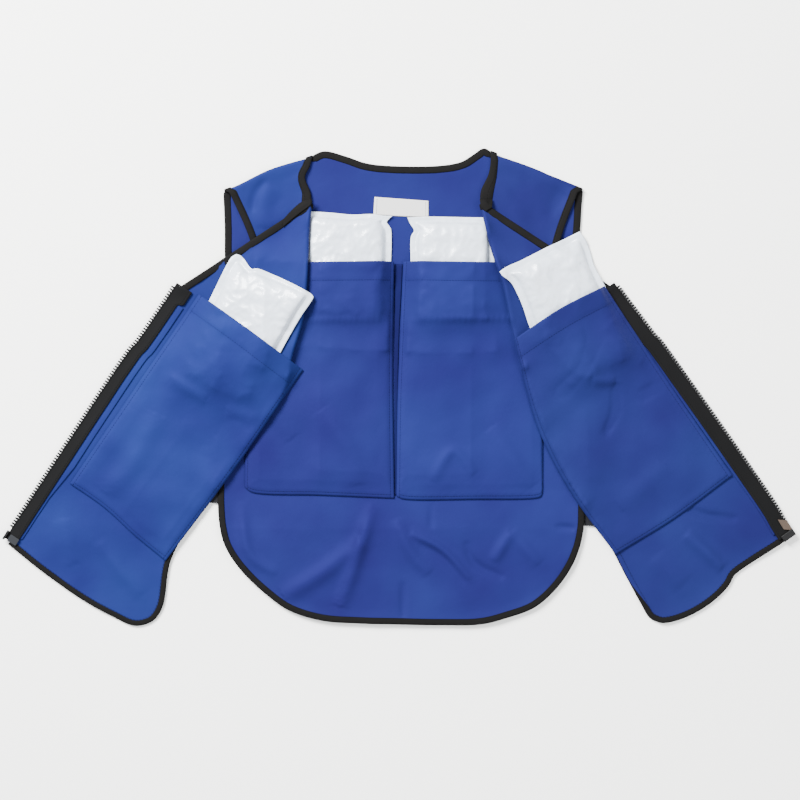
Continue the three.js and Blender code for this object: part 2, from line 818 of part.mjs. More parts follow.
// Cold packs: film pillows with a flat sealed rim
function coldPack(name, pocketFrame, pocketWidth, seat, towardsNeck) {
  const mouth = at(pocketFrame, seat.across * pocketWidth, 0);
  const angle = THREE.MathUtils.degToRad(seat.turn) * towardsNeck;
  const frame = planFrame(mouth, turned(pocketFrame.across, angle), turned(pocketFrame.down, angle));
  const corner = (across, down) => at(frame, across * packWidth, (down - seat.rise) * packLength);
  const patch = clothPatch({
    top: smoothLine([corner(-0.5, 0), corner(0, 0.015), corner(0.5, 0)], 6),
    left: smoothLine([corner(-0.5, 0), corner(-0.48, 0.5), corner(-0.5, 1)], 9),
    bottom: smoothLine([corner(-0.5, 1), corner(0, 0.985), corner(0.5, 1)], 6),
    right: smoothLine([corner(0.5, 0), corner(0.48, 0.5), corner(0.5, 1)], 9),
  }, packRim);
  const { nu, nv, count } = patch;
  const rimLift = packThickness * 0.2;
  const height = drape(patch, { sag: 0.4, lift: (k) => (k < count ? rimLift : 0) });
  const crown = (k) => {
    if (k < count) return packFilm;
    const u = ((k - count) % (nu + 1)) / nu;
    const v = Math.floor((k - count) / (nu + 1)) / nv;
    const fullness = (1 - (2 * u - 1) ** 4) * (1 - (2 * v - 1) ** 4);
    return packFilm + rimLift + (packThickness - packFilm - rimLift) * Math.sqrt(fullness);
  };
  addPiece(name, clothSolid(sheetPoints(patch, height, crown), patch.quads), film);
}

// Pockets: cloth sewn down on three sides over a pack
function pocket(name, frame, width, length, sides) {
  const place = ({ across, down }) => at(frame, across * width, down * length);
  const line = (stations, steps) => smoothLine(stations.map(place), steps);
  const patch = clothPatch({
    top: line(sides.mouth, 8),
    left: line(sides.inner, 12),
    bottom: line(sides.foot, 8),
    right: line(sides.outer, 12),
  }, bindingWidth);
  const height = drape(patch, { sag: 0.25 });
  addPiece(name, clothSolid(sheetPoints(patch, height, clothWall), patch.quads), lining);
}
function backPocketFrame(side) {
  const { sign } = fronts[side];
  const start = backPocketShift + (sign * backPocketGap) / 2;
  return planFrame([start, -backPocketDrop], [sign, 0], [0, -1]);
}
function frontPocketFrame(side) {
  const frame = frontFrame(side);
  return planFrame(at(frame, frontPocketInset, 0), frame.across, frame.down);
}

// Front panels: an upper layer from the shoulder over the back, a fold, and a layer folded out
function frontPanel(side) {
  const { sign, collar } = fronts[side];
  const frame = frontFrame(side);
  const outward = (station) => at(frame, station[side] * frontWidth, station.down * zipperLength);
  const foldStart = onBack(sign, collar[collar.length - 1]);
  const collarSteps = 3;
  const foldSteps = 8;
  const sideSteps = 12;
  const upperSteps = 4;
  const outerSteps = 9;
  const noseSteps = 4;
  const fold = smoothLine([foldStart, ...foldline.map(outward)], foldSteps);
  const armhole = frontArmhole.map((station) => onBack(sign, station));
  const shoulder = [armhole[0], onBack(sign, shoulderline[1]), onBack(sign, collar[0])];

  // Upper layer, exterior side up
  const upper = clothPatch({
    top: smoothLine(shoulder, upperSteps),
    left: smoothLine(armhole, collarSteps + foldSteps),
    bottom: smoothLine([armhole[armhole.length - 1], fold[foldSteps]], upperSteps),
    right: joinLines(smoothLine(collar.map((station) => onBack(sign, station)), collarSteps), fold),
  }, bindingWidth);
  const upperFold = (r) => upper.nu + collarSteps + r;
  const noseReach = foldRadius + clothWall;
  const upperBound = boundPoints(upper, (k) => k < upperFold(0) || k > upperFold(foldSteps));
  const upperHeight = drape(upper, {
    sag: 0.8,
    bound: upperBound,
    least: (k) => {
      const onFold = k >= upperFold(0) && k <= upperFold(foldSteps);
      return onFold ? groundUnder(upper.plan[k], noseReach + mapCell) + seamGap : 0;
    },
  });
  const upperPoints = sheetPoints(upper, upperHeight, clothWall);
  const upperSolid = clothSolid(upperPoints, upper.quads);
  layOnMap(upperSolid);
  const armholeChain = edgeChain(upper, upperPoints, 2 * upper.nu + upper.nv, upper.count);
  const collarChain = edgeChain(upper, upperPoints, upper.nu, upperFold(0));
  addPiece(`front_armhole_binding_${side}`, bindingGeometry(trimChain(armholeChain, 1, 1)), bias);
  addPiece(`collar_binding_${side}`, bindingGeometry(trimChain(collarChain, 1, 3)), bias);

  // Layer folded out, lining side up
  const zipperEdge = smoothLine([at(frame, 0, 0), at(frame, 0, zipperEdgeLength)], foldSteps + sideSteps);
  const outer = clothPatch({
    top: smoothLine([foldStart, at(frame, 0, 0)], outerSteps),
    left: joinLines(fold, smoothLine(frontSide.map(outward), sideSteps)),
    bottom: smoothLine(frontHem.map(outward), outerSteps),
    right: zipperEdge,
  }, bindingWidth);
  const { nu, nv, count } = outer;
  const outerFold = (r) => (count - r) % count;
  const foldRow = (k) => (k === 0 ? 0 : count - k);
  const zipperEnd = zipperEdge[zipperEdge.length - 1];
  const sliderLift = ([x, y]) => {
    const distance = Math.hypot(x - zipperEnd[0], y - zipperEnd[1]);
    const share = THREE.MathUtils.clamp(2 - distance / pullLength, 0, 1);
    return side === 'right' ? (pullWall + seamGap) * share : 0;
  };
  const toPlan = (across, down) => at(frame, across * frontWidth, down * zipperLength);
  const outerBound = boundPoints(outer, (k) => foldRow(k) === 0 || foldRow(k) > foldSteps);
  const outerHeight = drape(outer, {
    sag: 0.7,
    bound: outerBound,
    lift: (k) => sliderLift(outer.plan[k]) + ridgeLift(frontFolds[side], toPlan, outer.plan[k]),
    least: (k) => {
      if (k >= count || foldRow(k) > foldSteps) return 0;
      return upperHeight[upperFold(foldRow(k))] + clothWall + 2 * foldRadius;
    },
  });
  const outerPoints = sheetPoints(outer, outerHeight, clothWall);

  // One surface: the quads face the lining side, which is down in the upper layer and up in the outer
  const points = [];
  const quads = [];
  upperPoints.forEach(({ facing, other }) => points.push({ facing: other, other: facing }));
  upper.quads.forEach((quad) => quads.push(turnOver(quad)));
  const outerStart = points.length;
  points.push(...outerPoints);
  outer.quads.forEach((quad) => quads.push(quad.map((k) => k + outerStart)));
  const rows = [];
  for (let r = 0; r <= foldSteps; r += 1) {
    const lower = upperPoints[upperFold(r)];
    const higher = outerPoints[outerFold(r)];
    const [x, y] = upper.plan[upperFold(r)];
    const before = fold[Math.max(0, r - 1)];
    const after = fold[Math.min(foldSteps, r + 1)];
    const length = Math.hypot(after[0] - before[0], after[1] - before[1]);
    const out = [(sign * (after[1] - before[1])) / length, (-sign * (after[0] - before[0])) / length];
    const bottom = lower.other[2];
    const top = higher.facing[2];
    const centre = (bottom + top) / 2;
    const rise = (top - bottom) / 2;
    const rowIds = [upperFold(r)];
    for (let s = 1; s < noseSteps; s += 1) {
      const angle = -Math.PI / 2 + (Math.PI * s) / noseSteps;
      const arc = (radius, height) => [
        x + out[0] * radius * Math.cos(angle),
        y + out[1] * radius * Math.cos(angle),
        centre + height * Math.sin(angle),
      ];
      rowIds.push(points.length);
      points.push({ facing: arc(noseReach, rise), other: arc(foldRadius, rise - clothWall) });
    }
    rowIds.push(outerStart + outerFold(r));
    rows.push(rowIds);
  }
  for (let r = 0; r < foldSteps; r += 1) {
    for (let s = 0; s < noseSteps; s += 1) {
      const quad = [rows[r][s], rows[r][s + 1], rows[r + 1][s + 1], rows[r + 1][s]];
      quads.push(sign > 0 ? turnOver(quad) : quad);
    }
  }
  addPiece(`front_panel_${side}`, clothSolid(points, quads), lining);

  const lapelChain = edgeChain(outer, outerPoints, 0, nu);
  const hemChain = edgeChain(outer, outerPoints, nu + nv, count - foldSteps);
  addPiece(`lapel_binding_${side}`, bindingGeometry(trimChain(lapelChain, 6, 1)), bias);
  addPiece(`hem_binding_${side}`, bindingGeometry(trimChain(hemChain, 1, 4)), bias);
  zipperHalf(side, edgeChain(outer, outerPoints, nu, nu + nv));
}

// Zipper half: a tape over the front's outer edge and the chain of teeth along the tape's edge
function zipperHalf(side, chain) {
  const up = new THREE.Vector3(0, 0, 1);
  const trimmed = trimChain(chain, 1, 1);
  const spine = trimmed.map(({ edgeTop, insetTop }) => {
    const out = edgeTop.clone().sub(insetTop).normalize();
    return {
      out: out.clone().setZ(0).normalize(),
      inner: insetTop.clone().addScaledVector(up, seamGap),
      edge: edgeTop.clone().addScaledVector(up, seamGap),
      outer: edgeTop.clone().addScaledVector(up, seamGap).addScaledVector(out, tapeOverhang),
    };
  });
  const tape = spine.map(({ inner, edge, outer }) => [
    inner,
    inner.clone().addScaledVector(up, tapeWall),
    edge.clone().addScaledVector(up, tapeWall),
    outer.clone().addScaledVector(up, tapeWall),
    outer,
    edge,
  ]);
  addPiece(`zipper_tape_${side}`, sweepSections(tape, [[0, 1, 2, 5], [5, 2, 3, 4]], [1]), bias);
  const chainSections = spine.map(({ out, outer }) => {
    const middle = outer.clone().addScaledVector(up, tapeWall / 2);
    const place = (outward, upward) => (
      middle.clone().addScaledVector(out, outward).addScaledVector(up, upward)
    );
    const half = chainHeight / 2;
    return [
      place(seamGap, -half),
      place(seamGap, half),
      place(seamGap + chainWidth, half),
      place(seamGap + chainWidth, -half),
    ];
  });
  const endTrim = side === 'right' ? sliderLength + boxLength + 2 * seamGap : pinLength + seamGap;
  const chainPath = trimSections(chainSections, endTrim);
  addPiece(`zipper_chain_${side}`, sweepSections(chainPath, [[0, 1, 2, 3]]), zipResin);
  const end = spine[spine.length - 1];
  const before = spine[spine.length - 2];
  const along = end.outer.clone().sub(before.outer).setZ(0).normalize();
  const base = end.outer.clone().addScaledVector(up, tapeWall / 2);
  if (side === 'left') pinEnd(base, along, end.out, end);
  else boxEnd(base, along, end.out);
}
function trimSections(sections, trim) {
  const list = [...sections].reverse();
  let left = trim;
  while (list.length > 2 && list[0][0].distanceTo(list[1][0]) <= left) {
    left -= list[0][0].distanceTo(list[1][0]);
    list.shift();
  }
  const share = left / list[0][0].distanceTo(list[1][0]);
  list[0] = list[0].map((point, k) => point.clone().lerp(list[1][k], share));
  return list.reverse();
}

// Blocks at the end of the zipper, placed along it, out from its tape and up
function endBlock(name, base, along, out, { from, to, inner, outer, low, high }, material) {
  const place = (a, o, z) => base.clone().addScaledVector(along, a).addScaledVector(out, o).setZ(base.z + z);
  const section = (a) => [
    place(a, inner, low), place(a, inner, high), place(a, outer, high), place(a, outer, low),
  ];
  addPiece(name, sweepSections([section(from), section(to)], [[0, 1, 2, 3]]), material);
}
function pinEnd(base, along, out, { inner, outer }) {
  const half = pinWidth / 2;
  endBlock('zipper_pin', base, along, out, {
    from: -pinLength, to: 2, inner: seamGap, outer: seamGap + pinWidth, low: -half, high: half,
  }, zipResin);
  const reach = Math.hypot(outer.x - inner.x, outer.y - inner.y);
  const slope = (inner.z - outer.z) / reach;
  const place = (a, o, z) => base.clone().addScaledVector(along, a).addScaledVector(out, -o)
    .setZ(base.z + slope * o + tapeWall / 2 + seamGap + z);
  const near = seamGap;
  const far = Math.min(reach - tapeWall, filmLength);
  const section = (a) => [
    place(a, near, 0), place(a, near, filmWall), place(a, far, filmWall), place(a, far, 0),
  ];
  addPiece('pin_film', sweepSections([section(-filmLength), section(-tapeWall)], [[0, 1, 2, 3]]), greyFilm);
}
function boxEnd(base, along, out) {
  const half = sliderHeight / 2;
  endBlock('zipper_box', base, along, out, {
    from: -boxLength,
    to: 0,
    inner: seamGap,
    outer: seamGap + boxWidth,
    low: -half + sliderWall,
    high: half - sliderWall,
  }, zipResin);
  const start = -boxLength - seamGap - sliderLength;
  const place = (a, o, z) => base.clone().addScaledVector(along, a).addScaledVector(out, o).setZ(base.z + z);
  const channel = tapeWall / 2 + 2 * seamGap;
  const back = sliderWidth - sliderWall;
  const section = (a) => [
    place(a, 0, channel), place(a, 0, half), place(a, sliderWidth, half), place(a, sliderWidth, -half),
    place(a, 0, -half), place(a, 0, -channel), place(a, back, -channel), place(a, back, channel),
  ].map((point) => point.addScaledVector(out, -tapeOverhang / 2));
  const sections = [section(start), section(start + sliderLength)];
  addPiece('zipper_slider', sweepSections(sections, channelCaps), sliderMetal);
}
function sliderPull() {
  const frame = frontFrame('right');
  const centre = -tapeOverhang - seamGap - chainWidth / 2;
  const end = zipperEdgeLength - boxLength;
  const corner = (across, down) => at(frame, centre + across * pullWidth, end + down * pullLength);
  const corners = [corner(-0.5, -1), corner(0.5, -1), corner(0.35, 0), corner(-0.35, 0)];
  const outline = new THREE.Shape(corners.map(([x, y]) => new THREE.Vector2(x, y)));
  const geometry = new THREE.ExtrudeGeometry(outline, { depth: pullWall, bevelEnabled: false });
  addPiece('slider_pull', geometry, sliderMetal);
}

// The vest, laid from the floor up
sideStrap('left');
sideStrap('right');
sliderPull();
backPanel();
label();
['left', 'right'].forEach((side) => {
  const towardsNeck = fronts[side].sign;
  const backSeat = side === 'left' ? packSeats.backLeft : packSeats.backRight;
  const frame = backPocketFrame(side);
  coldPack(`cold_pack_back_${side}`, frame, backPocketWidth, backSeat, towardsNeck);
  pocket(`back_pocket_${side}`, frame, backPocketWidth, backPocketLength, backPockets[side]);
});
['left', 'right'].forEach((side) => {
  frontPanel(side);
  const towardsNeck = -fronts[side].sign;
  const frontSeat = side === 'left' ? packSeats.frontLeft : packSeats.frontRight;
  const frame = frontPocketFrame(side);
  coldPack(`cold_pack_front_${side}`, frame, frontPocketWidth, frontSeat, towardsNeck);
  pocket(`front_pocket_${side}`, frame, frontPocketWidth, frontPocketLength, frontPockets[side]);
});

// The vest stands on the floor with the middle of its outline over the origin
vest.updateMatrixWorld(true);
const box = new THREE.Box3().setFromObject(vest);
const middle = box.getCenter(new THREE.Vector3());
vest.position.set(-middle.x, -middle.y, -box.min.z);

export default vest;
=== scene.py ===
"""Cooling vest lying open on its back panel, lining side up, both front panels folded outwards.

Lengths in the functions are millimetres until a mesh is made. Each layer of cloth is laid over the
layers below it, which a relief map of the scene keeps.
"""
import math

import bpy
import numpy as np
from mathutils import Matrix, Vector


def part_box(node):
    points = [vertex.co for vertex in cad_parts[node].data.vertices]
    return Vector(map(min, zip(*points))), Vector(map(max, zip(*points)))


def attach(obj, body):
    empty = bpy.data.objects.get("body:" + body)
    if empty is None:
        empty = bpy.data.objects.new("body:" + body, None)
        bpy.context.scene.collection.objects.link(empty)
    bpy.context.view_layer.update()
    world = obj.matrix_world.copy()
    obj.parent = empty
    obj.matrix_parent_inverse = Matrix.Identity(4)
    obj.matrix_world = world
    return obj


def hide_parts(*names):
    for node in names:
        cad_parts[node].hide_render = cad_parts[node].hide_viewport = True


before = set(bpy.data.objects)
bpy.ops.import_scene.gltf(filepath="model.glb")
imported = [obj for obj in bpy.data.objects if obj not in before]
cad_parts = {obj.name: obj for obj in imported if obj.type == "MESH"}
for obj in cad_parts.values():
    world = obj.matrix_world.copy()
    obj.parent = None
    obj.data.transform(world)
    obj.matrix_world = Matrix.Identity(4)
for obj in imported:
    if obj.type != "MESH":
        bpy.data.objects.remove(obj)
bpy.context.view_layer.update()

bl_info = {
    "name": "Cooling vest",
    "version": (1, 0, 0),
    "blender": (4, 5, 0),
    "location": "3D View > Sidebar > Vest",
    "description": "Builds an open cooling vest with packs, pockets, bindings and a zipper",
    "category": "Object",
}

MM = 0.001
# Room between a sheet and what is under it, and what the label and the facing lie above that
SEAM_GAP = 0.35
LAID_LIFT = 0.15
UP = np.array([0.0, 0.0, 1.0])
SIDES = ("left", "right")
SIGN = {"left": -1, "right": 1}

# Outlines of the back: shares of half the width across and of the length down
NECKLINE = ((-0.4985, 0.0096), (-0.427, -0.002), (-0.311, 0.0085), (-0.201, 0.023), (-0.08, 0.029),
            (0.212, 0.029), (0.333, 0.0203), (0.405, 0.0032), (0.4545, -0.0085), (0.4985, 0.002))
SHOULDERLINE = {
    "left": ((0.4985, 0.0096), (0.719, 0.0352), (0.933, 0.0736), (0.975, 0.078)),
    "right": ((0.4985, 0.002), (0.75, 0.037), (0.995, 0.0745)),
}
BACK_ARMHOLE = {
    "left": ((0.975, 0.078), (0.967, 0.16), (0.966, 0.225), (0.945, 0.31), (0.955, 0.41), (1, 0.47)),
    "right": ((0.995, 0.0745), (0.985, 0.114), (0.976, 0.168), (0.95, 0.25), (0.94, 0.33),
              (0.955, 0.41), (1, 0.47)),
}
# From the armhole down the side and along the hem to the middle; the fifth step ends the side
BACK_RIM = {
    "left": ((1, 0.47), (1.005, 0.7), (1.005, 0.746), (0.994, 0.795), (0.964, 0.837), (0.881, 0.886),
             (0.755, 0.934), (0.618, 0.972), (0.438, 0.994), (0.24, 1.0), (0.041, 1.002)),
    "right": ((1, 0.47), (1.003, 0.7), (1, 0.767), (0.997, 0.795), (0.978, 0.834), (0.937, 0.875),
              (0.852, 0.924), (0.726, 0.967), (0.573, 0.989), (0.436, 1.002), (0.24, 1.004)),
}
SIDE_STEPS = 5

# How each front lies: the fold's start on the back, angles in degrees
FRONTS = {
    "left": {"fall": 34.1, "lean": 33.3, "start": (0.526, 0.106)},
    "right": {"fall": 33.2, "lean": 35.1, "start": (0.455, 0.11)},
}
COLLAR = {
    "left": ((0.4985, 0.0096), (0.51, 0.031), (0.538, 0.049), (0.53, 0.064), (0.506, 0.083),
             (0.503, 0.108)),
    "right": ((0.4985, 0.002), (0.493, 0.03), (0.483, 0.049), (0.4545, 0.0728), (0.442, 0.086),
              (0.4434, 0.1078)),
}
FRONT_ARMHOLE = {
    "left": ((0.945, 0.079), (0.825, 0.188), (0.765, 0.31), (0.735, 0.452)),
    "right": ((0.967, 0.078), (0.868, 0.1846), (0.8, 0.31), (0.76, 0.452)),
}

# Outlines of the folded-out layer: share of the zipper's length down, of the front's width across
FOLDLINE = {
    "left": ((-0.391, 0.529), (-0.303, 0.645), (-0.234, 0.733), (-0.131, 0.845), (0.002, 0.932),
             (0.05, 0.985)),
    "right": ((-0.36, 0.505), (-0.279, 0.564), (-0.209, 0.609), (-0.074, 0.732), (0.05, 0.834)),
}
FRONT_SIDE = {
    "left": ((0.05, 0.985), (0.12, 1.02), (0.25, 1.02), (0.45, 1.003), (0.7, 0.985), (0.788, 1.012),
             (0.827, 1.046), (0.9216, 1.139), (0.97, 1.145)),
    "right": ((0.05, 0.834), (0.2, 0.935), (0.45, 1.03), (0.72, 1.07), (0.824, 1.1), (0.93, 1.122),
              (0.975, 1.127)),
}
FRONT_HEM = {
    "left": ((0.97, 1.145), (0.997, 1.12), (1.027, 1.048), (1.04, 0.879), (1.048, 0.658),
             (1.045, 0.385), (1.04, 0.236), (1.03, 0.029), (1.029, 0)),
    "right": ((0.975, 1.127), (1.0, 1.1), (1.015, 1.071), (1.038, 0.953), (1.05, 0.806), (1.049, 0.659),
              (1.036, 0.53), (1.021, 0.465), (1.0195, 0.3), (1.023, 0.099), (1.024, 0)),
}
# Bow of the zipper's edge: share of its length down, millimetres outwards
ZIPPER_BOW = {
    "left": ((0, 0), (0.17, 0.5), (0.3, 4.2), (0.45, 5), (1, 4.5)),
    "right": ((0, 0), (0.2, 2.5), (0.4, 5.5), (0.7, 5.5), (1, 1.5)),
}
# Widths of the bound edge's visible part: place along the line, share of the full width
RIM_WIDTHS = {
    "left": ((0, 0.75), (1, 0.75)),
    "right": ((0, 0.1), (0.56, 0.1), (0.63, 0.8), (1, 0.8)),
}
COLLAR_WIDTHS = {
    "left": ((0, 1), (0.6, 1.05), (1, 1.45)),
    "right": ((0, 1.05), (0.35, 1.1), (0.55, 1.55), (0.8, 1.85), (1, 1.6)),
}
# Corner of the binding between collar and lapel: shares of the back, and its flat size
LAPEL_CORNERS = {
    "left": {
        "top": ((0.6489, 0.1432), (0.6021, 0.1236), (0.5393, 0.1037), (0.4914, 0.0995)),
        "left": ((0.6489, 0.1432), (0.6489, 0.1586)),
        "foot": ((0.6489, 0.1586), (0.6021, 0.1434), (0.5266, 0.1215), (0.4947, 0.1119)),
        "right": ((0.4914, 0.0995), (0.4897, 0.1080), (0.4947, 0.1119)),
        "flat": (36, 12)},
    "right": {
        "top": ((0.4286, 0.0995), (0.5002, 0.0995)),
        "left": ((0.4286, 0.0995), (0.4357, 0.1161), (0.4616, 0.1266)),
        "foot": ((0.4616, 0.1266), (0.4963, 0.1174)),
        "right": ((0.5002, 0.0995), (0.4963, 0.1174)),
        "flat": (16, 13)},
}
# Zipper tape and the cloth facing beside it: widths from the toothed edge in millimetres
TAPE_INNER = {"left": 9.0, "right": 11.5}
FACING = {"left": (8.2, 17.5), "right": (10.7, 14.8)}
FACING_END = {"left": 11.8, "right": 14.0}

# Pocket outlines: shares of the pocket's width across, from the inner side, and of its length down
BACK_POCKETS = {
    "left": {
        "mouth": ((0, 0), (0.5, 0.005), (1.02, 0)),
        "outer": ((1.02, 0), (1.02, 0.5), (1.033, 0.953)),
        "foot": ((0, 1), (0.5, 0.987), (0.985, 0.974), (1.033, 0.953)),
        "inner": ((0, 0), (0.01, 0.5), (0, 1)),
    },
    "right": {
        "mouth": ((0.004, 0), (0.5, 0.005), (0.98, 0)),
        "outer": ((0.98, 0), (0.97, 0.5), (0.967, 0.965)),
        "foot": ((-0.043, 0.99), (0, 1.002), (0.5, 1.004), (0.93, 0.998), (0.957, 0.99), (0.967, 0.965)),
        "inner": ((0.004, 0), (-0.018, 0.3), (-0.035, 0.58), (-0.043, 0.99)),
    },
}
FRONT_POCKETS = {
    "left": {
        "mouth": ((1.02, 0.01), (0.5, -0.008), (0, -0.016)),
        "outer": ((0, -0.016), (-0.015, 0.5), (-0.03, 0.96)),
        "foot": ((0.94, 1.01), (0.65, 0.995), (0.3, 0.965), (-0.03, 0.96)),
        "inner": ((1.02, 0.01), (1.0, 0.5), (0.94, 1.01)),
    },
    "right": {
        "mouth": ((0.72, -0.053), (0.3, -0.048), (-0.11, -0.017)),
        "outer": ((-0.11, -0.017), (-0.09, 0.44), (-0.08, 0.955)),
        "foot": ((1.035, 0.945), (0.5, 0.962), (-0.08, 0.955)),
        "inner": ((0.72, -0.053), (0.95, 0.285), (1.045, 0.6), (1.035, 0.945)),
    },
}

# Creases: height (below zero for a groove) and width in millimetres, then a line in shares of the piece
TAIL_CREASES = (
    (6.5, 9, ((-0.157, 0.745), (-0.21, 0.82), (-0.339, 0.97))),
    (5.5, 11, ((-0.212, 0.823), (-0.42, 0.89), (-0.658, 0.947))),
    (3.5, 7, ((-0.884, 0.74), (-0.829, 0.855), (-0.686, 0.898))),
    (4, 8, ((-0.03, 0.778), (0.058, 0.855), (0.157, 0.898))),
    (4.5, 5, ((0.041, 0.808), (0.223, 0.844), (0.377, 0.91))),
    (-2.5, 5, ((0.09, 0.83), (0.24, 0.865), (0.36, 0.918))),
    (-2.5, 4, ((0.1625, 0.746), (0.1625, 0.8))),
    (-3.5, 5, ((0.35, 0.827), (0.394, 0.87), (0.565, 0.906))),
    (4, 7, ((0.603, 0.806), (0.504, 0.872))),
    (3.5, 9, ((0.603, 0.806), (0.757, 0.876))),
    (-3, 4, ((0.851, 0.795), (0.956, 0.8))),
    (-2.5, 4, ((0.008, 0.915), (0.008, 0.99))),
)
UPPER_CREASES = {
    "left": ((-3, 5, ((0.752, 0.057), (0.802, 0.089), (0.8235, 0.125))),
             (2.5, 12, ((0.7, 0.07), (0.755, 0.11), (0.76, 0.16)))),
    "right": ((2.5, 14, ((0.5, 0.06), (0.62, 0.12), (0.66, 0.18))),
              (-2, 9, ((0.88, 0.08), (0.8, 0.14)))),
}
# Strip between the back pockets, in lining darkened by painted shade: down from the mouth, left and right
# edge in millimetres
POCKET_STRIP = ((3, -9, 2), (40, -9, 0), (90, -9, -3), (180, -9, -5), (303, -9, -6))

POCKET_CREASES = {
    ("back", "left"): (
        (1.6, 5, ((0.03, 0.245), (0.97, 0.25))),
        (3, 12, ((0.95, 0.55), (0.7, 0.75))),
        (2.5, 12, ((0.5, 0.62), (0.3, 0.8), (0.25, 0.95))),
    ),
    ("back", "right"): (
        (1.6, 5, ((0.03, 0.25), (0.97, 0.235))),
        (3, 12, ((0.6, 0.7), (0.9, 0.95))),
        (2.5, 7, ((0.2, 0.93), (0.35, 0.8), (0.5, 0.9))),
    ),
    ("front", "left"): (
        (3, 8, ((0.19, 0.35), (0.52, 0.34))),
        (2.5, 9, ((0.69, 0.33), (0.95, 0.29))),
        (3, 14, ((0.25, 0.5), (0.3, 0.75), (0.25, 0.92))),
    ),
    ("front", "right"): (
        (-3.5, 10, ((0.111, 0.075), (0.339, 0.197), (0.726, 0.25))),
        (3, 7, ((0.402, 0.282), (0.253, 0.339))),
        (-3.5, 6, ((0.253, 0.345), (0.394, 0.447), (0.575, 0.504))),
        (-3, 6, ((0.175, 0.457), (0.0, 0.46))),
        (3, 14, ((0.3, 0.75), (0.8, 0.8))),
    ),
}
FRONT_CREASES = {
    "left": (
        (3, 10, ((0.5, 0.86), (0.98, 0.93))),
        (2.5, 10, ((0.2, 0.86), (0.45, 0.97))),
    ),
    "right": (
        (-3.5, 5, ((0.467, 0.75), (0.349, 0.819), (0.207, 0.876))),
        (5.5, 9, ((0.572, 0.815), (0.53, 0.9), (0.494, 0.984))),
        (3, 14, ((0.85, 0.82), (0.8, 0.95))),
    ),
}

# Waves of the cloth: mean height, then height, length and seed of each noise
WAVES = {
    "back": (2.4, (2.6, 95, 3), (1.4, 42, 5)),
    "upper": (1.5, (3.0, 70, 51), (1.4, 30, 53)),
    "outer": (1.8, (3.2, 85, 61), (1.5, 38, 63)),
    "pocket": (1.6, (4.2, 85, 31), (1.8, 36, 32)),
}


# Lines and grids

CURVE_STEPS = 48


def smooth_parts(stations, cuts, steps):
    """Centripetal curve through the stations, cut at some of them into parts of even steps."""
    points = np.array(stations, float)
    points = np.vstack([2 * points[0] - points[1], points, 2 * points[-1] - points[-2]])
    pieces = []
    for k in range(1, len(points) - 2):
        a, b, c, d = points[k - 1:k + 3]
        gaps = [math.sqrt(math.dist(p, q)) for p, q in ((a, b), (b, c), (c, d))]
        t0, t1, t2, t3 = np.concatenate([[0], np.cumsum(gaps)])
        t = np.linspace(t1, t2, CURVE_STEPS, endpoint=False)[:, None]
        ab = ((t1 - t) * a + (t - t0) * b) / (t1 - t0)
        bc = ((t2 - t) * b + (t - t1) * c) / (t2 - t1)
        cd = ((t3 - t) * c + (t - t2) * d) / (t3 - t2)
        abc = ((t2 - t) * ab + (t - t0) * bc) / (t2 - t0)
        bcd = ((t3 - t) * bc + (t - t1) * cd) / (t3 - t1)
        pieces.append(((t2 - t) * abc + (t - t1) * bcd) / (t2 - t1))
    ends = [0, *cuts, len(stations) - 1]
    return [even_line(np.vstack(pieces[a:b] + [points[b + 1:b + 2]]), count)
            for a, b, count in zip(ends, ends[1:], steps)]


def smooth_line(stations, steps):
    return smooth_parts(stations, (), (steps,))[0]


def even_line(points, steps):
    length = np.concatenate([[0], np.cumsum(np.linalg.norm(np.diff(points, axis=0), axis=1))])
    places = np.linspace(0, length[-1], steps + 1)
    return np.stack([np.interp(places, length, points[:, k]) for k in range(points.shape[1])], 1)


def join_lines(*lines):
    return np.vstack([lines[0]] + [line[1:] for line in lines[1:]])


def eased(line):
    """Four times the mean of each point, twice, and its neighbours."""
    wide = np.pad(line, ((1, 1), (0, 0)), mode="edge")
    return wide[:-2] + 2 * wide[1:-1] + wide[2:]


def unit(vectors):
    return vectors / np.maximum(np.linalg.norm(vectors, axis=-1, keepdims=True), 1e-9)


def level(count, sign=1.0):
    """The same upright normal at each of many points."""
    return np.tile(sign * UP, (count, 1))


def between(table, count):
    """Shares at even places along a line, from rows of place and share."""
    return np.interp(np.linspace(0, 1, count), *zip(*table))[:, None]


def blend_grid(top, left, bottom, right):
    """Grid blended between four sides: rows run down, columns run across."""
    u = np.linspace(0, 1, len(top))[None, :, None]
    v = np.linspace(0, 1, len(left))[:, None, None]
    corners = ((1 - u) * (1 - v) * top[0] + u * (1 - v) * top[-1]
               + (1 - u) * v * bottom[0] + u * v * bottom[-1])
    return (1 - v) * top[None] + v * bottom[None] + (1 - u) * left[:, None] + u * right[:, None] - corners


def noise(plan, scale, seed):
    """Smooth noise between about -0.7 and 0.7 over a plan."""
    place = plan / scale + seed * 17.31
    cell = np.floor(place)
    part = place - cell
    weight = part ** 3 * (part * (part * 6 - 15) + 10)
    total = 0
    for dx in (0, 1):
        for dy in (0, 1):
            value = np.sin((cell[..., 0] + dx) * 127.1 + (cell[..., 1] + dy) * 311.7 + seed * 74.7)
            angle = (value * 43758.5453 % 1) * 2 * math.pi
            slope = (np.cos(angle) * (part[..., 0] - dx) + np.sin(angle) * (part[..., 1] - dy))
            across = weight[..., 0] if dx else 1 - weight[..., 0]
            down = weight[..., 1] if dy else 1 - weight[..., 1]
            total = total + slope * across * down
    return total


def waves(plan, kind, shift=0):
    mean, *rows = WAVES[kind]
    return mean + sum(height * noise(plan, length, seed + shift) for height, length, seed in rows)


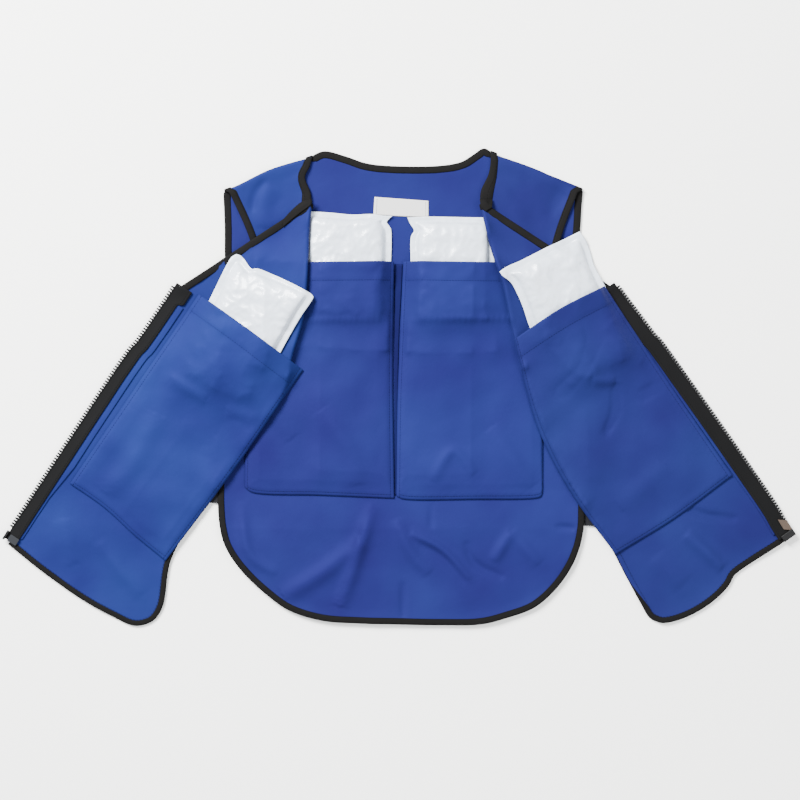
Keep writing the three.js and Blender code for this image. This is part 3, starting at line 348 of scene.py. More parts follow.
def creases(plan, rows, to_plan):
    """Height of the creases over a plan: rounded ridges and grooves that fade out at both ends."""
    steps, least = 24, 0.15
    total = np.zeros(plan.shape[:2])
    for height, width, spots in rows:
        line = smooth_line([to_plan(*spot) for spot in spots], steps)
        distance = np.linalg.norm(plan[..., None, :] - line, axis=-1)
        share = distance.argmin(-1) / steps
        fade = least + (1 - least) * np.sqrt(4 * share * (1 - share))
        total += height * fade * np.exp(-(distance.min(-1) / width) ** 2)
    return total


# Relief map: the height of everything laid so far

# How far the map reaches from its middle, in millimetres
RELIEF_REACH = (640, 460)


class Relief:
    cell = 2.0

    def __init__(self, reach_x, reach_y, centre_y):
        self.low = np.array([-reach_x, centre_y - reach_y])
        self.size = (int(2 * reach_y / self.cell) + 1, int(2 * reach_x / self.cell) + 1)
        self.height = np.zeros(self.size)

    def lay(self, points):
        """Lays a grid of points, shaped rows by columns by 3."""
        steps = 3
        for a in range(steps):
            for b in range(steps):
                s, t = a / (steps - 1), b / (steps - 1)
                spot = ((1 - s) * (1 - t) * points[:-1, :-1] + s * (1 - t) * points[1:, :-1]
                        + (1 - s) * t * points[:-1, 1:] + s * t * points[1:, 1:]).reshape(-1, 3)
                place = np.rint((spot[:, :2] - self.low) / self.cell).astype(int)
                column = np.clip(place[:, 0], 0, self.size[1] - 1)
                row = np.clip(place[:, 1], 0, self.size[0] - 1)
                np.maximum.at(self.height, (row, column), spot[:, 2])

    def under(self, plan):
        """Height below each point of a plan, with a cell to spare."""
        wide = self.height.copy()
        for axis in (0, 1):
            wide = np.maximum(wide, np.maximum(np.roll(wide, 1, axis), np.roll(wide, -1, axis)))
        place = (plan - self.low) / self.cell
        column = np.clip(place[..., 0], 0, self.size[1] - 2)
        row = np.clip(place[..., 1], 0, self.size[0] - 2)
        i, j = column.astype(int), row.astype(int)
        s, t = column - i, row - j
        return ((1 - s) * (1 - t) * wide[j, i] + s * (1 - t) * wide[j, i + 1]
                + (1 - s) * t * wide[j + 1, i] + s * t * wide[j + 1, i + 1])


def around(height):
    wide = np.pad(height, 1, mode="edge")
    return (wide[:-2, 1:-1] + wide[2:, 1:-1] + wide[1:-1, :-2] + wide[1:-1, 2:]) / 4


# How each layer is draped: what it sags in a round, in millimetres, and the number of rounds
DRAPES = {
    "back": (0.02, 30), "label": (0.01, 30), "strip": (0.02, 20), "pack": (0.03, 120),
    "pocket": (0.012, 700), "upper": (0.05, 300), "outer": (0.03, 500), "corner": (0.03, 40),
    "facing": (0.01, 40), "tape": (0.006, 60),
}


def drape(plan, kind, lift=0.0, least=None, pinned=None):
    """Heights of a cloth that hangs over what is below it."""
    sag, rounds = DRAPES[kind]
    support = state["relief"].under(plan) + SEAM_GAP + lift
    soft = support
    for _ in range(3):
        soft = around(soft)
    support = np.maximum(support, soft)
    if least is not None:
        support = np.maximum(support, least)
    height = support.copy()
    for _ in range(rounds):
        height = np.maximum(support, around(height) - sag)
        if pinned is not None:
            height[pinned] = support[pinned]
    for _ in range(3):
        height = np.maximum(height, around(height))
    return height


# Meshes

def grid_quads(index):
    return np.stack([index[:-1, :-1], index[:-1, 1:], index[1:, 1:], index[1:, :-1]], -1).reshape(-1, 4)


def turned(points, quads, up=True):
    """Faces turned so that they look up, or down."""
    a, b, c = (points[quads[:, k]] for k in (0, 1, 3))
    looks_up = np.cross(b - a, c - a)[:, 2].sum() > 0
    return quads if looks_up == up else quads[:, ::-1]


def vertex_normals(points, quads):
    a, b, c, d = (points[quads[:, k]] for k in range(4))
    face = np.cross(c - a, d - b)
    normal = np.zeros_like(points)
    for k in range(4):
        np.add.at(normal, quads[:, k], face)
    return normal / np.maximum(np.linalg.norm(normal, axis=1, keepdims=True), 1e-9)


def closed_solid(face, other, quads):
    """Closed solid between the points of a face side and those of its other side."""
    count = len(face)
    edges = np.concatenate([quads[:, [k, (k + 1) % 4]] for k in range(4)])
    _, first, times = np.unique(np.sort(edges, 1), axis=0, return_index=True, return_counts=True)
    rim = edges[first[times == 1]]
    sides = np.stack([rim[:, 1], rim[:, 0], rim[:, 0] + count, rim[:, 1] + count], 1)
    return np.vstack([face, other]), np.vstack([quads, quads[:, ::-1] + count, sides])


def wall_solid(points, quads, wall):
    """Closed solid of a sheet: the points are its face side."""
    return closed_solid(points, points - vertex_normals(points, quads) * wall, quads)


def add_mesh(name, points, faces, material, slot=None, smooth=True):
    """New piece from points in millimetres, in the vest's own frame."""
    mesh = bpy.data.meshes.new(name)
    place = (np.asarray(points) + state["origin"]) * MM
    mesh.from_pydata(place.tolist(), [], [list(map(int, face)) for face in faces])
    mesh.update()
    if smooth:
        mesh.shade_smooth()
    piece = bpy.data.objects.new(name, mesh)
    bpy.context.collection.objects.link(piece)
    piece.data.materials.append(material)
    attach(piece, "root")
    return piece


def sheet_grid(name, plan, height, wall, material, slot="lining_cloth"):
    """Sheet over a plan: height is its underside. Gives the piece and its face side."""
    face = np.dstack([plan, height + wall])
    points = face.reshape(-1, 3)
    quads = turned(points, grid_quads(np.arange(height.size).reshape(height.shape)))
    state["relief"].lay(face)
    return add_mesh(name, *wall_solid(points, quads, wall), material, slot), face


def sweep(sections):
    """Closed tube through sections, an array of stations by corners by 3."""
    stations, corners, _ = sections.shape
    index = np.arange(stations * corners).reshape(stations, corners)
    after = np.roll(index, -1, 1)
    quads = np.stack([index[:-1], after[:-1], after[1:], index[1:]], -1).reshape(-1, 4)
    faces = [list(quad) for quad in quads] + [list(index[0][::-1]), list(index[-1])]
    points = sections.reshape(-1, 3)
    a, b, c, d = (points[quads[:, k]] for k in range(4))
    volume = (np.einsum("ij,ij->i", a, np.cross(b, c)) + np.einsum("ij,ij->i", a, np.cross(c, d))).sum()
    return points, faces if volume >= 0 else [face[::-1] for face in faces]


def gather(parts, faces):
    """Points and faces of many copies of one form."""
    count = len(parts[0])
    return np.vstack(parts), [[i + k * count for i in face] for k in range(len(parts)) for face in faces]


def taken(model):
    """Corners and faces of a modelled form, which is then removed."""
    corners = np.array([vertex.co[:] for vertex in model.data.vertices])
    faces = [list(polygon.vertices) for polygon in model.data.polygons]
    bpy.data.objects.remove(model, do_unlink=True)
    return corners, faces


# Waves along a binding: share of its height, length in millimetres and phase
BINDING_WAVES = ((0.07, 6.5, 0), (0.08, 23, 1))
# Width of the tape laid flat, and the seam's place inwards, in widths of the folded binding
BINDING_SEAM = 0.84
# Height of a binding over the cloth's middle, at its seam and at its highest
SEAM_RISE = 1.5
BINDING_RISE = 1.6
# Lowest point of a binding over the floor
LEAST_HEIGHT = 0.05
# A seam is sewn where the binding lies this level, on more stations than this
LEVEL, SEWN_STATIONS = 0.9, 4
# Bias binding around an edge: place inwards from the edge, and height from the cloth's middle
CHANNEL = (
    (1.0, 0.62), (0.97, 1.25), (0.8, 1.5), (0.5, 1.62), (0.12, 1.55), (-0.08, 1.15), (-0.17, 0.45),
    (-0.17, -0.45), (-0.08, -1.15), (0.12, -1.35), (0.5, -1.35), (0.97, -1.25), (1.0, -0.62),
    (0.0, -0.62), (0.0, 0.62),
)


def lying(edge, inner, sign=1.0):
    """Flat part of a bound line: its edge, the way inwards and the lining's normal."""
    towards = np.asarray(inner) - edge
    normal = level(len(edge), sign)
    inward = np.cross(normal, np.gradient(edge, axis=0))
    inward = unit(inward * np.sign(np.sum((inward * towards)[:, :2], -1, keepdims=True)))
    for _ in range(3):
        inward = unit(eased(inward))
    inward[:, 2] = towards[:, 2] / np.maximum(np.linalg.norm(towards[:, :2], axis=1), 1)
    return edge, unit(inward), normal


def binding(name, edge, inward, normal, nodes):
    """Binding folded over an edge: the way inwards is in shares of its width."""
    width = state["sizes"].binding_width
    length = np.concatenate([[0], np.cumsum(np.linalg.norm(np.diff(edge, axis=0), axis=1))])
    way = unit(inward)
    up = unit(normal - np.sum(normal * way, -1, keepdims=True) * way)
    ripple = 1 + sum(share * np.sin(length * 2 * math.pi / wave + phase)
                     for share, wave, phase in BINDING_WAVES)
    sections = np.stack([
        edge + inward * (place * width) + up * (height * np.where(abs(height) > 1, ripple, 1))[:, None]
        for place, height in CHANNEL], 1)
    sections[..., 2] = np.maximum(sections[..., 2], LEAST_HEIGHT)
    piece = add_mesh(name, *sweep(sections), state["bias"], "bias_binding")
    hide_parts(*nodes)
    shown = min(1.0, float(np.mean(np.linalg.norm(inward, axis=1))))
    state["relief"].lay(sections[:, [0, 2, 3, 4, 5]])
    for face in (1, -1):
        seen = np.flatnonzero(up[:, 2] * face > LEVEL)
        for run in np.split(seen, np.flatnonzero(np.diff(seen) > 1) + 1):
            if len(run) > SEWN_STATIONS:
                seam = edge[run] + way[run] * (BINDING_SEAM * width) + up[run] * (SEAM_RISE * face)
                state["binding_seams"].append((seam, up[run] * face))


# Angles of a turn round a fold, from its lower to its upper side
FOLD_ANGLES = np.linspace(-math.pi / 2, math.pi / 2, 9)[1:-1]


def fold_turn(low, high, axis, outward, lining, push=0.0, reach=1.0, bulge=0.0):
    """Part of a bound line round a fold: lining is 1 outside the fold, -1 inside."""
    angles = FOLD_ANGLES[:, None]
    away, way = np.append(outward, 0.0), np.append(axis, 0.0)
    radius = (high[2] - low[2]) / 2
    edge = ((low + high) / 2 + np.cos(angles) * away * (radius + bulge)
            + np.sin(angles) * UP * radius - push * way)
    radial = np.cos(angles) * away + np.sin(angles) * UP
    return edge, np.tile(reach * way, (len(edge), 1)), radial * lining


def fold_fan(spot, start, axis, sign):
    """Turns the way inwards from the start towards the fold's axis, at one spot of the line."""
    way = np.append(axis, 0.0)
    shares = np.array([0.3, 0.65])[:, None]
    return spot + way * shares, unit(start * (1 - shares) + way * shares), level(len(shares), sign)


def kept_inside(part, start, axis, outward):
    """Ends the first stretch of a folded-out band at the fold. Gives the part and its reach there."""
    width = state["sizes"].binding_width
    edge, inward, normal = part
    ends = (edge + inward * width)[:, :2] - start
    first = int(np.argmax(ends @ outward <= 0))
    reach = ends[first] @ axis
    meet = start + axis * reach
    inward = inward.copy()
    inward[:first, :2] = (meet - edge[:first, :2]) / width
    return (edge, inward, normal), reach / width


def chain_join(*parts):
    """Joins parts of a bound line and eases the corners between them."""
    edge, inward, normal = (np.vstack([part[k] for part in parts]) for k in range(3))
    smooth_edge = eased(edge) / 4
    smooth_edge[[0, -1]] = edge[[0, -1]]
    return smooth_edge, eased(inward) / 4, unit(eased(normal) / 4)


def shoulder_fold(side):
    """The shoulder's fold in plan: its direction away from the neck and its outward direction."""
    ends = (on_back(SIGN[side], SHOULDERLINE[side][k]) for k in (0, -1))
    seam = unit(np.subtract(*reversed(list(ends))))
    outward = np.array([-seam[1], seam[0]])
    return seam, outward * np.sign(outward[1])


# Pitch and thickness of each kind of stitch in millimetres, and half its length in pitches
STITCHES = {"label": (2.6, 0.5), "pocket": (3.6, 0.55), "binding": (4.2, 0.5), "tape": (3.6, 0.5)}
STITCH_SHARE = 0.4


def stitches(kind, runs, material, slot="lining_cloth"):
    """Thread laid along runs of (line, normal): one short stitch modelled, then copied."""
    pitch, thickness = STITCHES[kind]
    bpy.ops.object.select_all(action="DESELECT")
    bpy.ops.mesh.primitive_uv_sphere_add(segments=6, ring_count=5, radius=1.0)
    shape, faces = taken(bpy.context.object)
    shape = shape[:, [2, 0, 1]] * (pitch * STITCH_SHARE, thickness / 2, thickness / 2)
    parts = []
    for line, normal in runs:
        steps = max(2, int(round(np.linalg.norm(np.diff(line, axis=0), axis=1).sum() / pitch)))
        dense = even_line(np.hstack([line, normal]), steps)
        middle = (dense[1:] + dense[:-1]) / 2
        along = unit(np.diff(dense[:, :3], axis=0))
        up = unit(middle[:, 3:])
        axes = np.stack([along, np.cross(up, along), up], 1)
        parts += [spot + shape @ frame_there for spot, frame_there in zip(middle[:, :3], axes)]
    add_mesh(f"{kind}_stitches", *gather(parts, faces), material, slot)


# Materials

def linear(colour):
    return [channel / 12.92 if channel <= 0.04045 else ((channel + 0.055) / 1.055) ** 2.4
            for channel in colour]


def add_node(nodes, kind, **values):
    """New shader node; in the names of its inputs a low line stands for a space."""
    node = nodes.new("ShaderNode" + kind)
    for name, value in values.items():
        node.inputs[name.replace("_", " ")].default_value = value
    return node


# Painted sheen in the cloth's colour: random clouds that darken it and lighten it towards cyan, by these
# shares of red, green and blue
SHEEN_CLOUD_DARK = (1, 1.6, 1)
SHEEN_CLOUD_LIGHT = (0.6, 2.4, 1.1)


def finish_material(name, colour, roughness, metallic=0.0, sheen=0.0, bump=(), tone=0.0, coat=0.0,
                    gloss=0.5, tint=(1, 1, 1)):
    """Principled finish; bump rows are scale, strength and distance of noise on object coordinates."""
    material = bpy.data.materials.new(name)
    material.use_nodes = True
    nodes, link = material.node_tree.nodes, material.node_tree.links.new
    nodes.clear()
    output = add_node(nodes, "OutputMaterial")
    shader = add_node(nodes, "BsdfPrincipled", Base_Color=(*colour, 1), Roughness=roughness,
                      Metallic=metallic, Sheen_Weight=sheen, Sheen_Roughness=0.4,
                      Sheen_Tint=(*tint, 1), Specular_IOR_Level=gloss, Specular_Tint=(*tint, 1),
                      Coat_Weight=coat)
    link(shader.outputs["BSDF"], output.inputs["Surface"])
    place = add_node(nodes, "TexCoord").outputs["Object"]
    # Painted sheen: clouds over the object that darken the colour or lighten it towards cyan
    if tone:
        sheen_cloud = add_node(nodes, "TexNoise", Scale=7, Detail=3)
        link(place, sheen_cloud.inputs["Vector"])
        shade = add_node(nodes, "MapRange", From_Min=0.3, From_Max=0.7)
        link(sheen_cloud.outputs["Fac"], shade.inputs["Value"])
        mixed = add_node(nodes, "Mix")
        mixed.data_type = "RGBA"
        for end, way, shares in (("A", -1, SHEEN_CLOUD_DARK), ("B", 1, SHEEN_CLOUD_LIGHT)):
            mixed.inputs[end].default_value = (
                *(channel * (1 + way * tone * share) for channel, share in zip(colour, shares)), 1)
        link(shade.outputs["Result"], mixed.inputs["Factor"])
        link(mixed.outputs["Result"], shader.inputs["Base Color"])
    normal = shader.inputs["Normal"]
    for scale, strength, distance in reversed(bump):
        grain = add_node(nodes, "TexNoise", Scale=scale, Detail=2)
        link(place, grain.inputs["Vector"])
        relief = add_node(nodes, "Bump", Strength=strength, Distance=distance)
        link(grain.outputs["Fac"], relief.inputs["Height"])
        link(relief.outputs["Normal"], normal)
        normal = relief.inputs["Normal"]
    return material


def cloth_finish(name, colour, shade):
    # The shade shares are painted sheen and shade, and tone sets the painted sheen's clouds
    tone = [channel * part for channel, part in zip(colour, shade)]
    return finish_material(name, tone, roughness=0.58, sheen=0.04, tone=0.16, gloss=0.09,
                           tint=(0.16, 0.2, 1.0),
                           bump=((900, 0.1, 0.0006), (60, 0.12, 0.004)))


# Frames in plan

def on_back(sign, station):
    sizes = state["sizes"]
    return (sign * station[0] * sizes.back_width / 2, -station[1] * sizes.back_length)


def back_points(side, rows):
    return [on_back(SIGN[side], row) for row in rows]


def front_frame(side):
    sizes, sign, row = state["sizes"], SIGN[side], FRONTS[side]
    fall, lean = math.radians(row["fall"]), math.radians(row["lean"])
    start = np.array(on_back(sign, row["start"]))
    top = start + sizes.lapel_length * np.array([sign * math.cos(fall), -math.sin(fall)])
    across = np.array([-sign * math.cos(lean), -math.sin(lean)])
    down = np.array([sign * math.sin(lean), -math.cos(lean)])
    return top, across, down


def placed(plan_frame, across, down):
    origin, u, v = plan_frame
    return origin + np.multiply.outer(np.asarray(across, float), u) + np.multiply.outer(
        np.asarray(down, float), v)


def front_outline(side, rows):
    """Places on a folded-out front, from rows of shares down and across."""
    sizes, stations = state["sizes"], np.array(rows)
    return list(placed(front_frame(side), stations[:, 1] * sizes.front_width,
                       stations[:, 0] * sizes.zipper_length))


def zipper_bow(side, down):
    """Millimetres that the zipper's edge bows outwards, at shares of its length down."""
    stations = smooth_line(ZIPPER_BOW[side], 60)
    return np.interp(down, stations[:, 0], stations[:, 1])


def pocket_frame(where, side):
    sizes, sign = state["sizes"], SIGN[side]
    if where == "back":
        start = sizes.back_pocket_shift + sign * sizes.back_pocket_gap / 2
        return np.array([start, -sizes.back_pocket_drop]), np.array([sign, 0.0]), np.array([0.0, -1.0])
    top, across, down = front_frame(side)
    return top + across * sizes.front_pocket_inset, across, down


def pocket_size(where):
    sizes = state["sizes"]
    if where == "back":
        return sizes.back_pocket_width, sizes.back_pocket_length
    return sizes.front_pocket_width, sizes.front_pocket_length


# Pieces

# Room under a bound edge for the binding's lower side in millimetres, where it ends in reaches, and
# that reach in cells of the back's and of the fronts' grids
BINDING_ROOM = 1.4
ROOM_END = 1.6
BACK_REACH, FRONT_REACH = 4, 3


def edge_room(shape, bound, reach):
    """Room under the bound edges of a grid: it fades out over reach, a number of cells."""
    rows, columns = shape
    j, i = np.indices(shape)
    distance = {"top": j, "bottom": rows - 1 - j, "left": i, "right": columns - 1 - i}
    return np.max([BINDING_ROOM * np.clip(ROOM_END - distance[name] / reach, 0, 1) for name in bound], 0)


# Steps of the back panel's outline
SHOULDER_STEPS, NECK_STEPS, ARMHOLE_STEPS, SIDE_EDGE_STEPS = 26, 54, 68, 120
# The tail lies looser than the back above it: where it starts and over what stretch, in back lengths,
# how high it lies in millimetres, and the share of the waves above it
TAIL_START, TAIL_FADE, TAIL_RISE, CALM = 0.72, 0.08, 2.0, 0.3


def build_back_panel():
    sizes, wall = state["sizes"], state["wall"]
    top = join_lines(
        smooth_line(back_points("left", SHOULDERLINE["left"])[::-1], SHOULDER_STEPS),
        smooth_line(back_points("right", NECKLINE), 2 * NECK_STEPS),
        smooth_line(back_points("right", SHOULDERLINE["right"]), SHOULDER_STEPS))
    rim = back_points("left", BACK_RIM["left"]) + back_points("right", BACK_RIM["right"])[::-1]
    left, bottom, right = smooth_parts(
        rim, (SIDE_STEPS, len(rim) - 1 - SIDE_STEPS),
        (SIDE_EDGE_STEPS, 2 * (SHOULDER_STEPS + NECK_STEPS), SIDE_EDGE_STEPS))
    flank = {side: join_lines(smooth_line(back_points(side, BACK_ARMHOLE[side]), ARMHOLE_STEPS), lower)
             for side, lower in (("left", left), ("right", right[::-1]))}
    plan = blend_grid(top, flank["left"], bottom, flank["right"])
    low = np.clip((-plan[..., 1] / sizes.back_length - TAIL_START) / TAIL_FADE, 0, 1)
    folds = creases(plan, TAIL_CREASES, lambda a, d: on_back(1, (a, d)))
    rise = waves(plan, "back") * (CALM + (1 - CALM) * low) + low * (TAIL_RISE + folds)
    room = edge_room(plan.shape[:2], ("top", "left", "right", "bottom"), BACK_REACH)
    height = drape(plan, "back", lift=room) + np.maximum(rise, 0)
    piece, face = sheet_grid("vest_back", plan, height, wall, state["lining"])
    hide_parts("back_panel")
    sizes.back_width * MM
    sizes.back_length * MM
    middle = face - wall / 2 * UP
    rim, rim_in = (join_lines(middle[ARMHOLE_STEPS:, -1 - k], middle[-1 - k, ::-1],
                              middle[ARMHOLE_STEPS:, k][::-1]) for k in (0, 3))
    edge, inward, normal = lying(rim, rim_in)
    binding("edge_tail", edge, inward * 0.9, normal, ["tail_binding"])
    neck_line = slice(SHOULDER_STEPS + 1, -SHOULDER_STEPS - 1)
    state["neck"] = lying(middle[0, neck_line], middle[4, neck_line])
    for side, edge, inner in (("left", 0, 4), ("right", -1, -5)):
        rows = slice(1, ARMHOLE_STEPS + 1)
        state["back_armhole"][side] = lying(middle[rows, edge], middle[rows, inner])
    for edge, inward, _ in (state["neck"], *state["back_armhole"].values()):
        band = np.stack([edge, edge + inward * sizes.binding_width], 1)
        state["relief"].lay(band + BINDING_RISE * UP)


# Corners of the label: shares of its width across and of its height down
LABEL_CORNERS = {"top_left": (-0.5, 0.04), "top_right": (0.5, 0.27),
                 "foot_left": (-0.52, 1.1), "foot_right": (0.5, 1.25)}
LABEL_WALL = 0.4


def build_label():
    sizes = state["sizes"]
    corners = {name: (across * sizes.label_width, -sizes.label_drop - down * sizes.label_height)
               for name, (across, down) in LABEL_CORNERS.items()}
    plan = blend_grid(*(even_line(np.array([corners[a], corners[b]]), steps) for a, b, steps in (
        ("top_left", "top_right", 40), ("top_left", "foot_left", 14),
        ("foot_left", "foot_right", 40), ("top_right", "foot_right", 14))))
    height = drape(plan, "label", lift=LAID_LIFT + 0.25 * noise(plan, 12, 8) ** 2)
    piece, face = sheet_grid("care_label", plan, height, LABEL_WALL, state["label"], "label_cloth")
    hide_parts("label_patch")
    sizes.label_width * MM
    sizes.label_height * MM
    ends = [(face[1:-1, k] + 0.15 * UP, level(len(face) - 2)) for k in (2, -3)]
    stitches("label", ends, state["thread"])


# Share of a pack's length that its gel fills
PACK_FILL = {"back": 0.82, "front": 1.0}

# Cold packs: seat in the pocket, then the outline in shares of the pack's width and length
PACKS = {
    ("back", "left"): {
        "across": 0.325, "rise": 62, "turn": 3,
        "top": ((-0.485, -0.001), (-0.388, 0), (-0.252, -0.007), (-0.026, 0.004), (0.223, -0.002),
                (0.52, -0.003)),
        "low": ((-0.485, -0.001), (-0.447, 0.023), (-0.423, 0.047), (-0.451, 0.071), (-0.475, 0.096),
                (-0.488, 0.174), (-0.495, 0.34), (-0.49, 0.99)),
        "high": ((0.52, -0.003), (0.53, 0.5), (0.52, 0.99))},
    ("back", "right"): {
        "across": 0.33, "rise": 57, "turn": 0,
        "top": ((-0.486, -0.001), (-0.23, -0.008), (0.052, -0.005), (0.497, 0)),
        "low": ((-0.486, -0.001), (-0.456, 0.044), (-0.411, 0.096), (-0.445, 0.14), (-0.45, 0.326),
                (-0.46, 0.99)),
        "high": ((0.497, 0), (0.5, 0.5), (0.5, 0.99))},
    ("front", "left"): {
        "across": 0.445, "rise": 76, "turn": 8.4,
        "top": ((-0.42, -0.038), (-0.375, -0.042), (-0.321, -0.03), (-0.231, 0.004),
                (-0.183, 0.014), (-0.143, -0.004), (0.068, -0.014), (0.331, -0.012), (0.53, -0.004)),
        "low": ((-0.42, -0.038), (-0.455, -0.005), (-0.466, 0.042), (-0.477, 0.185), (-0.485, 0.359),
                (-0.485, 0.99)),
        "high": ((0.53, -0.004), (0.578, 0.012), (0.578, 0.045), (0.538, 0.211), (0.5, 0.49),
                 (0.485, 0.99))},
    ("front", "right"): {
        "across": 0.25, "rise": 80, "turn": 8,
        "top": ((-0.536, -0.06), (-0.303, -0.062), (-0.116, -0.066), (0.213, -0.066), (0.389, -0.072),
                (0.486, -0.064)),
        "low": ((-0.536, -0.063), (-0.555, 0.01), (-0.543, 0.107), (-0.512, 0.196), (-0.506, 0.252),
                (-0.51, 0.366), (-0.485, 0.99)),
        "high": ((0.486, -0.064), (0.481, -0.03), (0.426, 0.047), (0.419, 0.147), (0.429, 0.247),
                 (0.463, 0.411), (0.48, 0.99))},
}


PACK_STEPS = (70, 110)
# The film's crumples and its rim's waves: height and length in millimetres
CRUMPLES = ((2.6, 27), (1.1, 12))
RIM_WAVES = ((1.3, 30), (0.5, 9))
# Thickness of the sealed rim, what it and the crumples take from the full height, and the least height
PACK_RIM_WALL = 1.4
PACK_LOSS = 3.5
PACK_LEAST = 0.5


def build_pack(where, side):
    sizes, sign, seat = state["sizes"], SIGN[side], PACKS[where, side]
    columns, rows = PACK_STEPS
    origin, across, down = pocket_frame(where, side)
    angle = math.radians(seat["turn"]) * (sign if where == "back" else -sign)
    turn = np.array([[math.cos(angle), -math.sin(angle)], [math.sin(angle), math.cos(angle)]])
    place = placed((origin, across, down), seat["across"] * pocket_size(where)[0], 0)

    def line(stations, steps):
        return smooth_line([placed((place, turn @ across, turn @ down), a * sizes.pack_width,
                                   d * sizes.pack_length - seat["rise"]) for a, d in stations], steps)

    foot = (seat["low"][-1], (0, 0.995), seat["high"][-1])
    plan = blend_grid(line(seat["top"], columns), line(seat["low"], rows), line(foot, columns),
                      line(seat["high"], rows))
    base = drape(plan, "pack")
    u, v = np.meshgrid(np.linspace(-1, 1, columns + 1), np.linspace(-1, 1, rows + 1))
    rim_u, rim_v = 1 - 2 * sizes.pack_rim / sizes.pack_width, 1 - 2 * sizes.pack_rim / sizes.pack_length
    filled = (v + 1) / PACK_FILL[where] - 1
    inside = np.clip(1 - np.abs(u / rim_u) ** 6, 0, 1) * np.clip(1 - np.abs(filled / rim_v) ** 8, 0, 1)
    seed = 11 + 5 * list(PACKS).index((where, side))
    crumple = sum(height * (1 - 2 * np.abs(noise(plan, length, seed + k)))
                  for k, (height, length) in enumerate(CRUMPLES)) * (0.25 + 0.75 * inside ** 0.3)
    wave = sum(height * noise(plan, length, seed + k) for k, (height, length) in enumerate(RIM_WAVES, 2))
    rim = PACK_RIM_WALL + np.maximum(wave, -1) * (1 - inside)
    full = np.sqrt(inside) * (sizes.pack_thickness - PACK_LOSS)
    lower = base + np.where(inside > 0, 0.0, np.minimum(rim, 1.0))
    upper = np.maximum(base + 0.6 + rim + full + crumple * 0.9, lower + PACK_LEAST)
    face, back = np.dstack([plan, upper]), np.dstack([plan, lower])
    points = face.reshape(-1, 3)
    quads = turned(points, grid_quads(np.arange(lower.size).reshape(lower.shape)))
    state["relief"].lay(face)
    piece = add_mesh(f"pack_{where}_{side}", *closed_solid(points, back.reshape(-1, 3), quads),
                     state["film"], "pack_film")
    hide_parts(f"cold_pack_{where}_{side}")


# Length of a cell of a pocket's grid
POCKET_CELL = 2.2
# Width of the sewn edge, its pucker's length, and the places of its groove and of its stitches
SEWN_EDGE, PUCKER, EDGE_GROOVE, EDGE_STITCHES = 2.4, 9, 3.2, 1.5
# How far a pocket stands up over its pack on its inner half, and on its outer half
PUFF = {"back": 5.5, "front": 2.0}
OUTER_PUFF = 2.5


def build_pocket(where, side):
    sizes, wall = state["sizes"], state["wall"]
    outline = (BACK_POCKETS if where == "back" else FRONT_POCKETS)[side]
    width, length = pocket_size(where)
    plan_frame = pocket_frame(where, side)

    def line(name, steps):
        stations = np.array(outline[name])
        return smooth_line(placed(plan_frame, stations[:, 0] * width, stations[:, 1] * length), steps)

    columns, rows = int(width / POCKET_CELL), int(length / POCKET_CELL)
    plan = blend_grid(line("mouth", columns), line("inner", rows), line("foot", columns),
                      line("outer", rows))
    i, j = np.meshgrid(np.arange(columns + 1) / columns * width, np.arange(rows + 1) / rows * length)
    edge = np.minimum(np.minimum(i, width - i), length - j)
    shift = 7 * ((where == "front") * 2 + (side == "right"))
    wave = waves(plan, "pocket", shift)
    wave += creases(plan, POCKET_CREASES[where, side],
                    lambda a, d: placed(plan_frame, a * width, d * length))
    pucker = np.sin((i + j) * 2 * math.pi / PUCKER + 3 * noise(plan, 25, 33 + shift)) * np.clip(
        1 - np.abs(edge - 6) / 6, 0, 1)
    inside = np.maximum(np.minimum(i, width - i) - 1.5, 0)
    puff = np.where(i < width / 2, PUFF[where], OUTER_PUFF) * (1 - np.exp(-inside / 4))
    puff = np.minimum(puff, 1.5 + (length - j) * 0.12) * np.clip((length - j) / 5, 0, 1)
    height = drape(plan, "pocket", lift=puff, pinned=edge < SEWN_EDGE)
    height += np.maximum(wave, 0) * np.clip(edge / 20, 0, 1) + 0.35 * np.maximum(pucker, 0)
    hem = sizes.hem_band
    band = 0.7 * np.clip((hem - j) / 2.5, 0, 1)
    groove = (-0.45 * np.exp(-((j - hem + 2.5) / 1.6) ** 2)
              - 0.3 * np.exp(-((edge - EDGE_GROOVE) / 1.5) ** 2))
    height = height + band + np.where(edge > 1.5, groove, 0)
    piece, face = sheet_grid(f"pocket_{where}_{side}", plan, height, wall, state["cloth"][where, side])
    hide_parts(f"{where}_pocket_{side}")
    a = int(round(EDGE_STITCHES / width * columns)) + 1
    b = int(round(hem / length * rows)) - 1
    lifted = face + 0.12 * UP
    runs = [lifted[:, a], lifted[:, -1 - a], lifted[-1 - a, a:-a], lifted[b, a:-a]]
    state["pocket_seams"] += [(run, level(len(run))) for run in runs]


# Thickness, widest width and mean width of the strip between the back pockets
STRIP_WALL, STRIP_FLAT, STRIP_SHOWN = 0.5, 10, 6.2


def build_pocket_strip():
    """Turned-in edges of the back pockets, sewn flat between them, in lining darkened by painted shade.
    """
    sizes = state["sizes"]
    rows = smooth_line(POCKET_STRIP, 120)
    across = rows[:, 1:2] + (rows[:, 2:3] - rows[:, 1:2]) * np.linspace(0, 1, 7)[None]
    down = -sizes.back_pocket_drop - rows[:, :1] + 0 * across
    plan = np.dstack([across, down])
    height = drape(plan, "strip", lift=0.1)
    piece, _ = sheet_grid("pocket_strip", plan, height, STRIP_WALL, state["strip"])
    run = (rows[-1, 0] - rows[0, 0]) * MM
    STRIP_SHOWN * MM * run


# Steps of a front's grids, and how far its cloth stands out at the fold
COLLAR_ROWS, FOLD_ROWS, SIDE_ROWS, UPPER_COLUMNS, OUTER_COLUMNS = 16, 76, 112, 34, 60
FOLD_NOSE = 2.4
